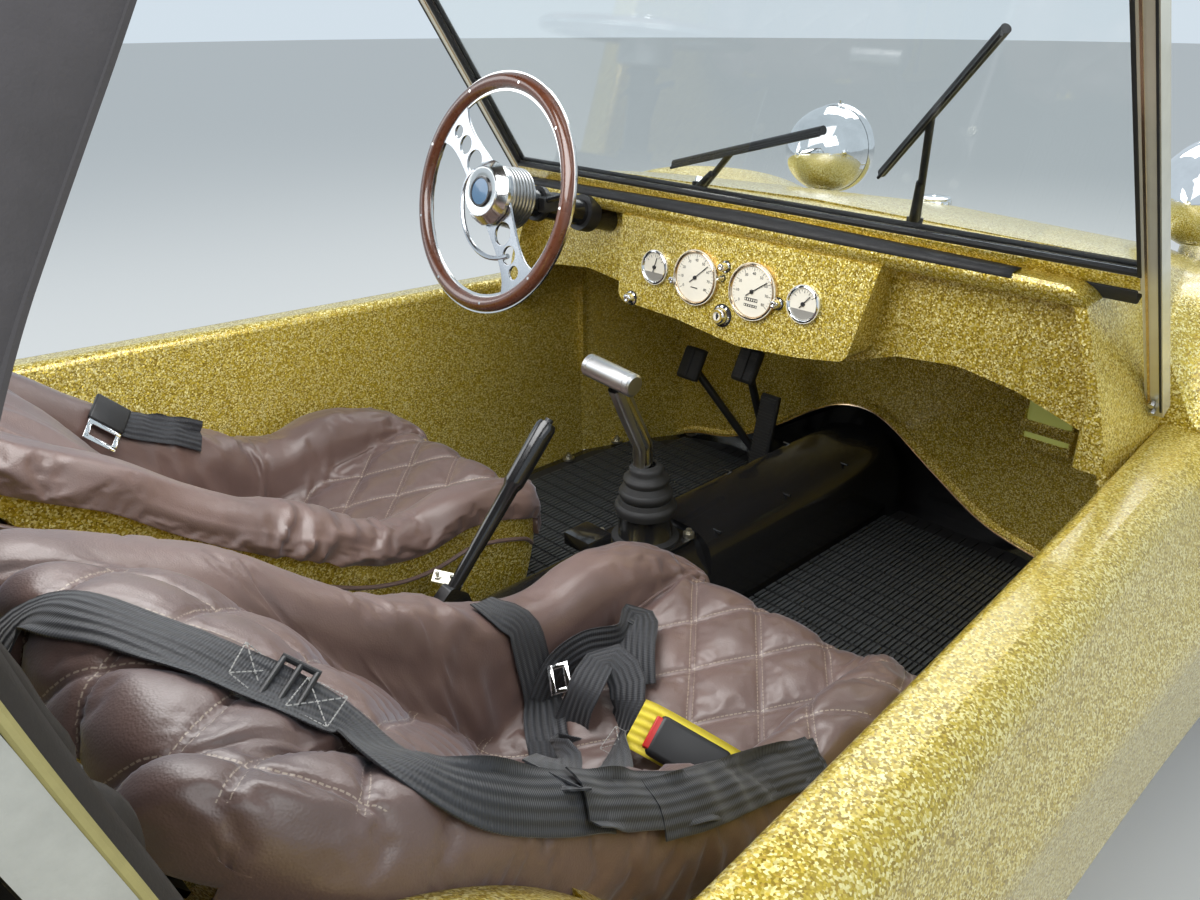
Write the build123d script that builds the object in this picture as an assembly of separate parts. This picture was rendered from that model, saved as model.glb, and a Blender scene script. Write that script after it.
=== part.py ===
from build123d import *
import os
from math import cos, sin, tan, radians, hypot

# Open two-seat dune buggy on a shortened steel floorpan with a rear engine.
# Frame: +X forwards, +Y to the car's left, +Z up, origin under the middle of the car on the ground. Millimetres.

os.makedirs("parts", exist_ok=True)

# Overall
WHEELBASE = 2032
FRONT_AXLE_X = 1090
REAR_AXLE_X = FRONT_AXLE_X - WHEELBASE
NOSE_X = 1650
TAIL_X = -1650
SEAT_GAP = 0.3            # clearance of a piece in its seat
PIN_GAP = 0.05            # radial running clearance

# Wheels and tyres, front then rear
TRACK_FRONT = 1330
TRACK_REAR = 1420
TYRE_R_FRONT = 305
TYRE_W_FRONT = 185
TYRE_R_REAR = 335
TYRE_W_REAR = 250
BEAD_R = 190
LIP_H = 16
LIP_W = 12
TREAD_SHARE = 0.8
RIM_WALL = 7
DRUM_R = 118
SPINDLE_R = 15

# Floorpan
FLOOR_Z = 237
PAN_T = 10
PAN_REAR_X = -820
PAN_HALF_W = 558
PAN_TOE_X = 700
TUNNEL_HALF_W = 78
TUNNEL_TOP_Z = 387
TUNNEL_FRONT_X = 640
HEAD_HALF_W = 55
HEAD_TOP_Z = 322
MAT_T = 5
MAT_REAR_X = -150

# Tub
WALL = 12
SILL_W = 72
SIDE_REAR_X = -640
SIDE_FRONT_X = 400
BULKHEAD_X = 629
TUB_FLOOR_Z = 440
NOSE_WALL_Y = 398
NOSE_SKIN_X = 1560
BONNET_END_X = 1380
ARCH_R_FRONT = 374
ARCH_R_REAR = 400
REAR_END_X = -1380
DECK_Z = 655
DECK_END_X = -1160
BACK_RAKE = 54
BACK_FOOT_X = -568
REEL_X = -829
REEL_Y = 300
REEL_Z = 600
REEL_R = 46
ROLL_X = 222
ROLL_UNDER_Z = 822
ROOT_Y = 560

# Windscreen: foot of the glass, rake from vertical, glass height and half width
SCREEN_X = 253.6
SCREEN_Z = 871
SCREEN_RAKE = 32.8
GLASS_H = 450
GLASS_HALF_W = 550
GLASS_T = 6
POST_W = 22
POST_DOWN = 245
RAIL_H = 28

# Dash
FACE_X = 210
FACE_Z = 750
FACE_TILT = 6.5
DASH_X = 262

# Steering wheel and column
WHEEL_C = (10, 327, 871)
WHEEL_R = 170
RIM_R = 12
COLUMN_TILT = 16.5
COLUMN_R = 22
SHAFT_R = 10
COLUMN_TOP = 52
COLUMN_END = 690
PEDAL_X = 596
BOTTLE_Y = -362
BOTTLE_Z = 484
BOTTLE_W = 76
BOTTLE_D = 46
BOTTLE_H = 84

# Lamps and bumpers
LAMP_X = 1004
LAMP_Y = 391
LAMP_Z = 833
HEADLAMP_R = 92
LAMP_FOOT_Z = 716
LAMP_R = 45
FILLER_X = 785
FILLER_Z = 800
BUMPER_R = 19
EYE_Y = 60
EYE_R = 12
ARM_Y_REAR = 350
REAR_BAR_Z = 415
PLATE_HOLE_Y = 180
PLATE_HOLE_R = 4

# Engine and rear axle
ENGINE_END_X = -1500
TORSION_X = -770
TORSION_Z = 300

# Soft top
ROOF_Z = 1330
ROOF_HEAD_Z = 1278
ROOF_END_X = -1158
ROOF_BACK_X = -985
HOOP_X = -935
TOP_T = 6
TOP_FOOT_Y = 652
TOP_EDGE_Y = 592
TOP_TUBE_R = 11
HOOP_FOOT_X = -880
HOOP_FOOT_Z = 735

# Front suspension
KINGPIN_Y = 560
KINGPIN_R = 9
BEAM_X = 1215
BEAM_Z = (250, 400)
BEAM_R = 24
BEAM_HALF_W = 440
ARM_L = 110
ROD_Z = 348
BOX_Y = 60
BALL_R = 6

# Seats
SEAT_Y = 325
SEAT_HALF_W = 222
SHELL_T = 10
BOLSTER_W = 62
RUNNER_Y = 130


def polygon(points, radius):
    wire = FilletPolyline(*points, radius=radius, close=True) if radius else Polyline(*points, close=True)
    return make_face(wire)


def along_x(points, x0, x1, radius=0):
    return extrude(polygon([(x0, y, z) for y, z in points], radius), amount=x1 - x0, dir=(1, 0, 0))


def along_y(points, y0, y1, radius=0):
    return extrude(polygon([(x, y0, z) for x, z in points], radius), amount=y1 - y0, dir=(0, 1, 0))


def along_z(points, z0, z1, radius=0):
    return extrude(polygon([(x, y, z0) for x, y in points], radius), amount=z1 - z0, dir=(0, 0, 1))


def block(x0, x1, y0, y1, z0, z1):
    return Pos((x0 + x1) / 2, (y0 + y1) / 2, (z0 + z1) / 2) * Box(x1 - x0, y1 - y0, z1 - z0)


def rod(start, end, r):
    way = Vector(*end) - Vector(*start)
    return Plane(origin=start, z_dir=way) * Cylinder(r, way.length, align=(Align.CENTER, Align.CENTER, Align.MIN))


def pipe(points, r, bend):
    path = FilletPolyline(*points, radius=bend)
    section = Plane(origin=points[0], z_dir=Vector(*points[1]) - Vector(*points[0])) * Circle(r)
    return sweep(section, path=path)


def turned(profile, x, z):
    """Solid of revolution about a line along Y at (x, z); the profile is a list of (y, radius)."""
    face = make_face(Polyline(*[(0, y, r) for y, r in profile], close=True))
    return Pos(x, 0, z) * revolve(face, Axis((0, 0, 0), (0, 1, 0)), 360)


def mirrored(shape):
    return mirror(shape, about=Plane.XZ)


def pair(shape):
    return shape + mirrored(shape)


def biggest(shape):
    """The largest solid of a shape, without slivers that a cut leaves."""
    return shape.solids().sort_by(SortBy.VOLUME)[-1]


def joined(shapes):
    whole = shapes[0]
    for shape in shapes[1:]:
        whole += shape
    return whole


def loft_along_x(sections):
    """Solid through closed outlines; each section is x, its (y, z) points and their corner radii."""
    faces = [make_face(FilletPolyline(*[(x, y, z) for y, z in points], radius=radii, close=True))
             for x, points, radii in sections]
    return loft(faces)


# Wheels

def tyre(y, side, r, width, rim_width):
    """Carcass with beads inside the rim's lips, bulged sidewalls and a plain crowned tread."""
    half = width / 2
    bead = rim_width / 2 - LIP_W - SEAT_GAP
    lip_r = BEAD_R + LIP_H + SEAT_GAP
    mid_r = (lip_r + r) / 2
    quarter = [(bead, BEAD_R + SEAT_GAP), (bead, lip_r), (half - 8, lip_r + 12), (half, mid_r), (half - 6, r - 26),
               (half * TREAD_SHARE, r - 5), (half * TREAD_SHARE * 0.5, r)]
    return Pos(0, y * side, 0) * turned(quarter + [(-a, b) for a, b in reversed(quarter)], 0, 0)


def rim(y, side, width, hub_in):
    """Slotted wheel: barrel with bead lips, dished centre with eight slots, hub, drum and cap."""
    half = width / 2
    lip = BEAD_R + LIP_H
    well = BEAD_R - 22
    disc = half * 0.25
    outer = [(-half, lip), (-half + 9, lip), (-half + LIP_W, BEAD_R), (-half + 40, BEAD_R), (-half + 55, well),
             (half - 55, well), (half - 40, BEAD_R), (half - LIP_W, BEAD_R), (half - 9, lip), (half, lip),
             (half, lip - RIM_WALL), (half - 14, BEAD_R - RIM_WALL), (half - 44, BEAD_R - RIM_WALL),
             (half - 58, well - RIM_WALL), (-half + 58, well - RIM_WALL), (-half + 44, BEAD_R - RIM_WALL),
             (-half + 14, BEAD_R - RIM_WALL), (-half, lip - RIM_WALL)]
    centre = [(disc, well - RIM_WALL + 2), (disc + 16, well - RIM_WALL + 2), (disc + 16, 120), (disc + 26, 90),
              (disc + 20, 48), (disc + 42, 40), (disc + 46, 0), (disc + 8, 0), (disc + 8, 60), (disc + 14, 100)]
    drum = [(hub_in, 24), (hub_in, DRUM_R), (disc + 12, DRUM_R - 14), (disc + 12, 20), (hub_in + 22, 24)]
    hub = [(hub_in, SPINDLE_R + PIN_GAP), (hub_in, 40), (disc + 10, 40), (disc + 10, SPINDLE_R + PIN_GAP)]
    wheel = turned(outer, 0, 0) + turned(centre, 0, 0) + turned(drum, 0, 0)
    wheel -= turned([(hub_in - 1, 0), (hub_in - 1, SPINDLE_R + PIN_GAP), (disc + 9, SPINDLE_R + PIN_GAP), (disc + 9, 0)],
                    0, 0)
    wheel += turned(hub, 0, 0)
    slot = rod((0, disc - 8, 136), (0, disc + 60, 136), 14)
    for i in range(8):
        wheel -= Rot(0, 45 * i, 0) * slot
    if side < 0:
        wheel = mirrored(wheel)
    return Pos(0, y * side, 0) * wheel


def wheels():
    """Rims and tyres; columns: name end, x, tyre radius, half track, tyre width, rim width, hub inner face."""
    table = [("front", FRONT_AXLE_X, TYRE_R_FRONT, TRACK_FRONT / 2, TYRE_W_FRONT, 160, -60),
             ("rear", REAR_AXLE_X, TYRE_R_REAR, TRACK_REAR / 2, TYRE_W_REAR, 222, -95)]
    out = {}
    for end, x, r, y, w, rim_w, hub_in in table:
        for name, side in (("left", 1), ("right", -1)):
            place = Pos(x, 0, r)
            out[f"tyre_{end}_{name}"] = place * tyre(y, side, r, w, rim_w)
            out[f"rim_{end}_{name}"] = place * rim(y, side, rim_w, hub_in)
    return out


# Front suspension and steering

def knuckle():
    """Left knuckle: king pin, block, spindle and the steering arm that points back."""
    x, z = FRONT_AXLE_X, TYRE_R_FRONT
    spindle_end = TRACK_FRONT / 2 + 27
    body = rod((x, KINGPIN_Y, 222), (x, KINGPIN_Y, 428), KINGPIN_R)
    body += block(x - 17, x + 17, KINGPIN_Y - 9, KINGPIN_Y + 38, 252, 398)
    body += rod((x, KINGPIN_Y, z), (x, spindle_end, z), SPINDLE_R)
    body += block(x - ARM_L - 12, x, KINGPIN_Y - 8, KINGPIN_Y + 8, ROD_Z - 36, ROD_Z - 20)
    body += rod((x - ARM_L, KINGPIN_Y, ROD_Z - 30), (x - ARM_L, KINGPIN_Y, ROD_Z + 16), BALL_R)
    return body


def drop_arm():
    x = FRONT_AXLE_X
    arm = block(x - ARM_L - 10, x + 14, BOX_Y - 10, BOX_Y + 10, ROD_Z - 22, ROD_Z - 11)
    arm += rod((x - ARM_L, BOX_Y, ROD_Z - 20), (x - ARM_L, BOX_Y, ROD_Z + 16), BALL_R)
    return arm + rod((x, BOX_Y, ROD_Z - 20), (x, BOX_Y, ROD_Z + 50), KINGPIN_R)


def tie_rods():
    x = FRONT_AXLE_X - ARM_L
    bar = rod((x, -KINGPIN_Y, ROD_Z), (x, KINGPIN_Y, ROD_Z), 9)
    for y in (-KINGPIN_Y, BOX_Y, KINGPIN_Y):
        bar += rod((x, y, ROD_Z - 10), (x, y, ROD_Z + 10), 14)
    for y in (-KINGPIN_Y, BOX_Y, KINGPIN_Y):
        bar -= rod((x, y, ROD_Z - 12), (x, y, ROD_Z + 12), BALL_R + PIN_GAP)
    return bar


def front_axle_beam():
    """Twin beam tubes, towers, trailing arms, carriers with king pin lugs, dampers and the steering box."""
    x = FRONT_AXLE_X
    beam = block(BEAM_X - 30, BEAM_X + 30, -44, 44, BEAM_Z[0] + 10, BEAM_Z[1] - 10)
    for z in BEAM_Z:
        beam += rod((BEAM_X, -BEAM_HALF_W, z), (BEAM_X, BEAM_HALF_W, z), BEAM_R)
    tower = along_y([(BEAM_X - 34, 232), (BEAM_X + 34, 232), (BEAM_X + 30, 430), (BEAM_X - 10, 560),
                     (BEAM_X - 42, 560), (BEAM_X - 38, 430)], BEAM_HALF_W - 40, BEAM_HALF_W - 14, 8)
    half = tower
    for z in BEAM_Z:
        half += rod((BEAM_X, BEAM_HALF_W - 20, z), (BEAM_X, BEAM_HALF_W + 18, z), 20)
        half += rod((BEAM_X, BEAM_HALF_W + 8, z), (x + 6, 528, z), 13)
    half += block(x - 18, x + 18, 518, 536, 226, 424)
    lug = block(x - 18, x + 18, 530, KINGPIN_Y + 18, 226, 244)
    half += lug + Pos(0, 0, 180) * lug
    half -= rod((x, KINGPIN_Y, 200), (x, KINGPIN_Y, 440), KINGPIN_R + PIN_GAP)
    half += rod((BEAM_X - 26, BEAM_HALF_W - 4, 540), (x + 70, 478, 262), 17)
    half += rod((BEAM_X - 26, BEAM_HALF_W - 20, 540), (BEAM_X - 26, BEAM_HALF_W + 2, 540), 9)
    beam += pair(half)
    box = block(x - 34, x + 34, BOX_Y - 30, BOX_Y + 30, ROD_Z + 4, TUB_FLOOR_Z - 4)
    box += block(x + 20, BEAM_X, BOX_Y - 16, BOX_Y + 16, BEAM_Z[1] - 14, BEAM_Z[1] + 10)
    beam += box
    return beam - rod((x, BOX_Y, ROD_Z), (x, BOX_Y, ROD_Z + 52), KINGPIN_R + PIN_GAP)


# Floorpan

def floorpan():
    plan = [(PAN_REAR_X, PAN_HALF_W), (409, PAN_HALF_W - 14), (565, 480), (BULKHEAD_X, 446), (PAN_TOE_X, 340),
            (PAN_TOE_X, -340), (BULKHEAD_X, -446), (565, -480), (409, -PAN_HALF_W + 14), (PAN_REAR_X, -PAN_HALF_W)]
    pan = along_z(plan, FLOOR_Z - PAN_T, FLOOR_Z)
    low = FLOOR_Z - PAN_T
    hump = [(-TUNNEL_HALF_W, low), (TUNNEL_HALF_W, low), (TUNNEL_HALF_W, 330), (50, TUNNEL_TOP_Z),
            (-50, TUNNEL_TOP_Z), (-TUNNEL_HALF_W, 330)]
    pan += along_x(hump, PAN_REAR_X - 40, TUNNEL_FRONT_X, [0, 0, 30, 30, 30, 30])
    head = [(-HEAD_HALF_W, low), (HEAD_HALF_W, low), (HEAD_HALF_W, HEAD_TOP_Z), (-HEAD_HALF_W, HEAD_TOP_Z)]
    pan += along_x(head, TUNNEL_FRONT_X - 5, BEAM_X - 30)
    # dished toe wall under the arch, behind which the frame head runs on
    toe = along_x([(-340, low), (340, low), (190, 330), (80, 405), (-80, 405), (-190, 330)], PAN_TOE_X - 8, PAN_TOE_X,
                  [0, 0, 60, 60, 60, 60])
    pan += toe
    for y in (-380, 380):
        pan += block(-700, -560, y - 60, y + 60, low - 18, low)
    return pan


def floor_mats():
    edge = PAN_HALF_W - 28
    half = along_z([(MAT_REAR_X, 92), (MAT_REAR_X, edge), (400, edge - 10), (560, 446), (612, 410), (640, 330), (640, 92)],
                   FLOOR_Z, FLOOR_Z + MAT_T, 6)
    ribs = [block(MAT_REAR_X + 10, 630, y - 4, y + 4, FLOOR_Z + MAT_T, FLOOR_Z + MAT_T + 2) for y in range(112, 330, 24)]
    for rib in ribs:
        half += rib
    return pair(half)


# Body shell

def tub_side():
    """Left side: from the floor edge up the cockpit wall, over the rolled sill and down the outer skin."""
    # columns: x, y of the floor edge, y of the sill's inner edge, z of its crest, y of the outer skin
    table = [(SIDE_REAR_X, ROOT_Y, 650, 664, 752), (-90, 560, 606, 653, 727), (SIDE_FRONT_X, 546, 563, 646, 727)]
    low = FLOOR_Z - PAN_T
    sections = []
    for x, y_floor, y_in, z, y_out in table:
        points = [(y_floor, low), (y_in, z), (y_in + SILL_W, z - 4), (y_out, z - 150), (y_out, 322),
                  (y_out - 40, 285), (y_floor + 40, low)]
        sections.append((x, points, [0, 14, 40, 90, 30, 20, 0]))
    side = loft_along_x(sections)
    well = rear_arch(ROOT_Y, ARCH_R_REAR + WALL) & block(SIDE_REAR_X, SIDE_REAR_X + 120, ROOT_Y, 700, low, 660)
    return side + well - rear_arch(ROOT_Y + WALL, ARCH_R_REAR)


def rear_arch(y, r):
    """Cylinder about the left rear wheel's axle, from y outwards."""
    return rod((REAR_AXLE_X, y, TYRE_R_REAR), (REAR_AXLE_X, 950, TYRE_R_REAR), r)


def front_skin(inset):
    """Left half of the nose, bonnet and wing; each row is a section across the car."""
    # columns: x, centre z, then bonnet edge, valley, wing crest, wing shoulder and lower edge as (y, z)
    table = [(SIDE_FRONT_X, 858, (505, 846), (556, 730), (600, 652), (706, 600), (727, 420)),
             (650, 826, (400, 812), (490, 786), (600, 806), (732, 742), (757, 600)),
             (900, 775, (350, 762), (450, 742), (590, 786), (738, 736), (762, 600)),
             (1150, 706, (320, 696), (420, 676), (590, 724), (738, 692), (762, 560)),
             (1400, 590, (300, 580), (420, 556), (590, 582), (716, 536), (742, 420)),
             (NOSE_SKIN_X, 440, (300, 432), (420, 420), (570, 424), (650, 396), (676, 340))]
    sections = []
    for x, z_mid, bonnet, valley, crest, shoulder, low in table:
        points = [(0, z_mid - inset), (bonnet[0], bonnet[1] - inset), (valley[0], valley[1] - inset),
                  (crest[0], crest[1] - inset), (shoulder[0] - inset, shoulder[1] - inset),
                  (low[0] - inset, low[1]), (low[0] - inset, 200), (0, 200)]
        sections.append((x, points, [0, 40, 30, 30, 40, 60, 0, 0]))
    return loft_along_x(sections)


def scuttle_block(inset):
    """Left half of the scuttle, from the dash roll to the first bonnet section."""
    top = [(0, 855), (500, 846), (548, 700), (576, 600), (0, 600)]
    points = [(max(y - inset, 0), z - inset if z > 700 else z) for y, z in top]
    return along_x(points, ROLL_X, SIDE_FRONT_X, [0, 34, 60, 0, 0])


def front_shell():
    """Left half of the front moulding as a wall, open below, with the wheel arch and the lip line cut."""
    shell = front_skin(0) - front_skin(WALL)
    shell += front_skin(0) & block(NOSE_SKIN_X - WALL, NOSE_SKIN_X + 1, 0, 800, 200, 800)
    shell += front_skin(0) & block(SIDE_FRONT_X, SIDE_FRONT_X + WALL, 545, 800, 420, 900)
    shell -= block(300, 1700, -1, 800, 0, 330)
    shell -= rod((FRONT_AXLE_X, 640, TYRE_R_FRONT), (FRONT_AXLE_X, 900, TYRE_R_FRONT), ARCH_R_FRONT)
    lip = [(SIDE_FRONT_X, 150), (SIDE_FRONT_X, 285), (771, 500), (771, 150)]
    return shell - along_y(lip, 500, 900)


def scuttle():
    """Left half of the scuttle wall with the rolled edge over the dash."""
    wall = scuttle_block(0) - scuttle_block(WALL)
    roll = along_y([(ROLL_X, 855), (ROLL_X - 10, 838), (ROLL_X, 820), (ROLL_X + 40, 820), (ROLL_X + 40, 855)], 0, 560,
                   [0, 12, 12, 0, 0])
    end = block(ROLL_X, ROLL_X + 40, 524, 580, 625, 855)
    end = fillet(end.edges().group_by(Axis.X)[0].filter_by(Axis.Z), 12)
    return wall + (roll + end & scuttle_reach())


def scuttle_reach():
    """The scuttle's outline carried back over the roll."""
    return along_x([(0, 855), (500, 846), (548, 700), (576, 600), (0, 600)], ROLL_X - 20, SIDE_FRONT_X,
                   [0, 34, 60, 0, 0])


def front_tub(inside):
    """Arched bulkhead at the toes, footwell walls, the inner walls of the nose and its floor."""
    low = FLOOR_Z
    edge = 456
    arch = [(-edge, low), (-400, 262), (-275, 294), (-160, 362), (-45, 434), (40, 434), (115, 394), (195, 338),
            (300, 282), (400, 262), (edge, low)]
    radii = [0, 30, 60, 60, 40, 40, 60, 60, 40, 30, 0, 0, 0]
    top = 900
    lean = 27
    bulkhead = along_x(arch + [(edge + lean, top), (-edge - lean, top)], BULKHEAD_X - WALL, BULKHEAD_X, radii)
    ends = []
    for z, out in ((low, 0), (top, lean)):
        ends.append(make_face(Polyline(*[(x, y + out, z) for x, y in (
            (SIDE_FRONT_X, 546), (565, 480), (BULKHEAD_X, 446), (BULKHEAD_X, 446 + WALL), (569, 480 + WALL),
            (SIDE_FRONT_X, 546 + WALL))], close=True)))
    wall = loft(ends)
    tub = bulkhead + pair(wall)
    nose_end = 1400
    nose = block(BULKHEAD_X, nose_end, NOSE_WALL_Y - WALL, NOSE_WALL_Y, TUB_FLOOR_Z, 900)
    tub += pair(nose)
    tub += block(BULKHEAD_X, nose_end, -NOSE_WALL_Y, NOSE_WALL_Y, TUB_FLOOR_Z, TUB_FLOOR_Z + WALL)
    tub += block(nose_end - WALL, nose_end, -NOSE_WALL_Y, NOSE_WALL_Y, TUB_FLOOR_Z, 900)
    tub &= inside
    return tub


def rear_skin(inset):
    """Left rear wing; each row is a section across the car."""
    # columns: x, then root, crest, shoulder and lower edge as (y, z)
    table = [(SIDE_REAR_X, (ROOT_Y, 606), (656, 664), (734, 654), (756, 514)),
             (-790, (ROOT_Y, 716), (690, 764), (800, 742), (838, 560)),
             (REAR_AXLE_X, (ROOT_Y, 745), (680, 802), (812, 780), (848, 600)),
             (-1180, (ROOT_Y, 700), (670, 790), (810, 768), (848, 580)),
             (REAR_END_X, (ROOT_Y, 640), (660, 716), (782, 692), (818, 560))]
    sections = []
    for x, root, crest, shoulder, low in table:
        drop = 300 - inset * 2
        points = [(root[0] + inset, FLOOR_Z - inset), (root[0] + inset, root[1] - inset * 0.8),
                  (crest[0], crest[1] - inset), (shoulder[0] - inset, shoulder[1] - inset), (low[0] - inset, low[1]),
                  (low[0] - inset, drop)]
        sections.append((x, points, [0, 8, 20, 40, 60, 0]))
    return loft_along_x(sections)


def rear_wing():
    """Left rear wing as a wall with a closed tail, its arch open to the side."""
    wing = rear_skin(0) - rear_skin(WALL)
    wing += rear_skin(0) & block(REAR_END_X, REAR_END_X + WALL, 500, 900, 420, 900)
    wing -= rear_arch(740, ARCH_R_REAR)
    slant = [(REAR_END_X - 10, 200), (REAR_END_X - 10, 430), (-1250, 200)]
    wing -= along_y(slant, 500, 900)
    wing -= block(REAR_END_X - 10, TORSION_X + 80, ROOT_Y - 20, ROOT_Y + 40, 200, 445)
    lamp = rod((REAR_END_X - 5, 735, 610), (REAR_END_X + WALL + 5, 735, 610), LAMP_R)
    return wing - lamp


def rear_body():
    """Sloping bulkhead behind the seats and the deck over the gearbox."""
    rise = (DECK_Z - FLOOR_Z) / tan(radians(BACK_RAKE))
    foot = BACK_FOOT_X
    plate = along_y([(foot, FLOOR_Z), (foot - WALL * 1.3, FLOOR_Z), (foot - rise - WALL * 1.3, DECK_Z - WALL),
                     (foot - rise, DECK_Z)], -720, 720)
    deck = block(DECK_END_X, foot - rise, -720, 720, DECK_Z - WALL, DECK_Z)
    skirt = block(DECK_END_X, DECK_END_X + WALL, -720, 720, DECK_Z - 90, DECK_Z)
    body = plate + deck + skirt
    body &= along_x([(-PAN_HALF_W, 200), (PAN_HALF_W, 200), (660, DECK_Z), (-660, DECK_Z)], DECK_END_X - 10, foot + 10)
    for y in (-REEL_Y, REEL_Y):
        body -= rod((REEL_X - 60, y, REEL_Z - 44), (REEL_X + 60, y, REEL_Z + 44), REEL_R + 8)
    return body


def belt_reels():
    """Inertia reels that sit in the bulkhead's round holes on a plate."""
    reels = []
    for y in (-REEL_Y, REEL_Y):
        reel = rod((REEL_X, y - 24, REEL_Z), (REEL_X, y + 24, REEL_Z), 34)
        plate = Plane(origin=(REEL_X, y, REEL_Z), x_dir=(0, 1, 0), z_dir=(cos(radians(36)), 0, sin(radians(36))))
        reel += plate * Box(2 * REEL_R + 40, 24, 6)
        reels.append(reel)
    return reels[0] + reels[1]


# Windscreen

def on_screen(s, forward=0):
    """Point on the screen's plane, s up the rake from the glass foot and forward along its normal, as (x, z)."""
    a = radians(SCREEN_RAKE)
    return (SCREEN_X - s * sin(a) + forward * cos(a), SCREEN_Z + s * cos(a) + forward * sin(a))


def screen_bar(s0, s1, y0, y1, back, front):
    """Bar between two heights on the screen, as deep as from back to front along its normal."""
    corners = [on_screen(s0, back), on_screen(s0, front), on_screen(s1, front), on_screen(s1, back)]
    return along_y(corners, y0, y1)


def windscreen():
    post = screen_bar(-POST_DOWN, GLASS_H + POST_W, GLASS_HALF_W, GLASS_HALF_W + POST_W, -POST_W / 2, POST_W / 2)
    frame = pair(post)
    for s0, s1 in ((-RAIL_H, 0), (GLASS_H, GLASS_H + POST_W)):
        frame += screen_bar(s0, s1, -GLASS_HALF_W, GLASS_HALF_W, -POST_W / 2, POST_W / 2)
    edge = GLASS_HALF_W - SEAT_GAP
    glass = screen_bar(SEAT_GAP, GLASS_H - SEAT_GAP, -edge, edge, -GLASS_T / 2, GLASS_T / 2)
    return frame, glass


def wipers():
    """Two arms from pivots on the scuttle to blades that lie before the glass."""
    # columns: pivot, arm end, blade ends
    table = [((291, 142, 845), (235, 37, 944), (258, 171, 909), (204, -139, 992)),
             ((291, -241, 845), (183, -302, 1025), (237, -213, 942), (119, -408, 1124))]
    out = []
    for pivot, top, b0, b1 in table:
        w = rod(pivot, (pivot[0], pivot[1], pivot[2] + 25), 11)
        w += rod((pivot[0], pivot[1], pivot[2] + 22), top, 5)
        w += rod(b0, b1, 6)
        out.append(w)
    return out[0] + out[1]


# Dash

def dash_outlines():
    pod = [(250, 830), (243, 682), (110, 677), (-15, 662), (-126, 671), (-207, 684), (-221, 749), (-239, 830)]
    recess = [(548, 830), (546, 650), (470, 690), (380, 700), (243, 684), (-170, 662), (-252, 690), (-342, 699),
              (-428, 686), (-511, 659), (-546, 648), (-548, 830)]
    return pod, recess


def dashboard():
    pod_line, recess_line = dash_outlines()
    pod = along_x(pod_line, FACE_X - 30, DASH_X, [10, 18, 120, 160, 160, 20, 0, 10])
    tilt = tan(radians(FACE_TILT))
    behind = along_y([(FACE_X - 80, 600), (FACE_X + (600 - FACE_Z) * tilt, 600), (FACE_X + (900 - FACE_Z) * tilt, 900),
                      (FACE_X - 80, 900)], -300, 300)
    panel = along_x(recess_line, DASH_X, DASH_X + WALL, [0, 0, 60, 60, 0, 0, 80, 120, 80, 60, 0, 0])
    return (pod - behind) + panel


def gauges():
    """Four dials and the small knobs on the pod's face."""
    a = radians(FACE_TILT)
    out = []
    # columns: y, z, bezel radius, how far it stands out
    table = [(163.5, 750, 28, 6), (75.2, 750, 43, 8), (-36.7, 750, 43, 8), (-127.2, 750, 28, 6),
             (212, 690, 8, 12), (18, 702, 12, 12), (118, 738, 6, 12), (22, 776, 6, 12), (-82, 741, 6, 12)]
    for y, z, r, proud in table:
        origin = (FACE_X + (z - FACE_Z) * tan(a), y, z)
        place = Plane(origin=origin, z_dir=(-cos(a), 0, sin(a)))
        dial = place * Cylinder(r, proud, align=(Align.CENTER, Align.CENTER, Align.MIN))
        if r > 20:
            dial -= place * Pos(0, 0, proud - 3) * Cylinder(r - 4, 6, align=(Align.CENTER, Align.CENTER, Align.MIN))
        out.append(dial)
    return out


# Steering wheel and column

def along_column(s):
    """Point on the column's axis, s forwards and down from the wheel's centre."""
    a = radians(COLUMN_TILT)
    return (WHEEL_C[0] + s * cos(a), WHEEL_C[1], WHEEL_C[2] - s * sin(a))


def steering_wheel():
    a = radians(COLUMN_TILT)
    place = Plane(origin=WHEEL_C, x_dir=(0, 1, 0), z_dir=(-cos(a), 0, sin(a)))
    rim_ring = place * Torus(WHEEL_R, RIM_R)
    plate = Cylinder(WHEEL_R - 4, 4) - Cylinder(WHEEL_R - 16, 6)
    for angle in (90 - 25, 90 + 95, 90 - 145):
        spoke = Pos(WHEEL_R / 2, 0, 0) * Box(WHEEL_R - 10, 46, 4)
        for r, hole in ((62, 12), (92, 10), (118, 8)):
            spoke -= Pos(r, 0, 0) * Cylinder(hole, 8)
        plate += Rot(0, 0, angle) * spoke
    hub = Cylinder(40, 22)
    plate = place * (plate + hub)
    boss = rod(along_column(5), along_column(44), 32)
    shaft = rod(along_column(10), along_column(COLUMN_TOP + 60), SHAFT_R)
    spokes = plate + boss + shaft
    return rim_ring - spokes, spokes


def steering_column():
    tube = rod(along_column(COLUMN_TOP), along_column(COLUMN_END), COLUMN_R)
    stalk = rod(along_column(COLUMN_TOP + 40), (along_column(COLUMN_TOP + 30)[0], WHEEL_C[1] - 90,
                                                along_column(COLUMN_TOP + 30)[2] + 24), 5)
    bore = rod(along_column(COLUMN_TOP - 1), along_column(COLUMN_TOP + 62), SHAFT_R + PIN_GAP)
    return tube + stalk - bore


# Levers and pedals

def gear_lever():
    lever = pipe([(19, 0, 500), (16, 0, 549), (-42, 0, 662)], 11, 30)
    return lever + rod((-45, 50, 676), (-45, -36, 668), 16)


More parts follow.
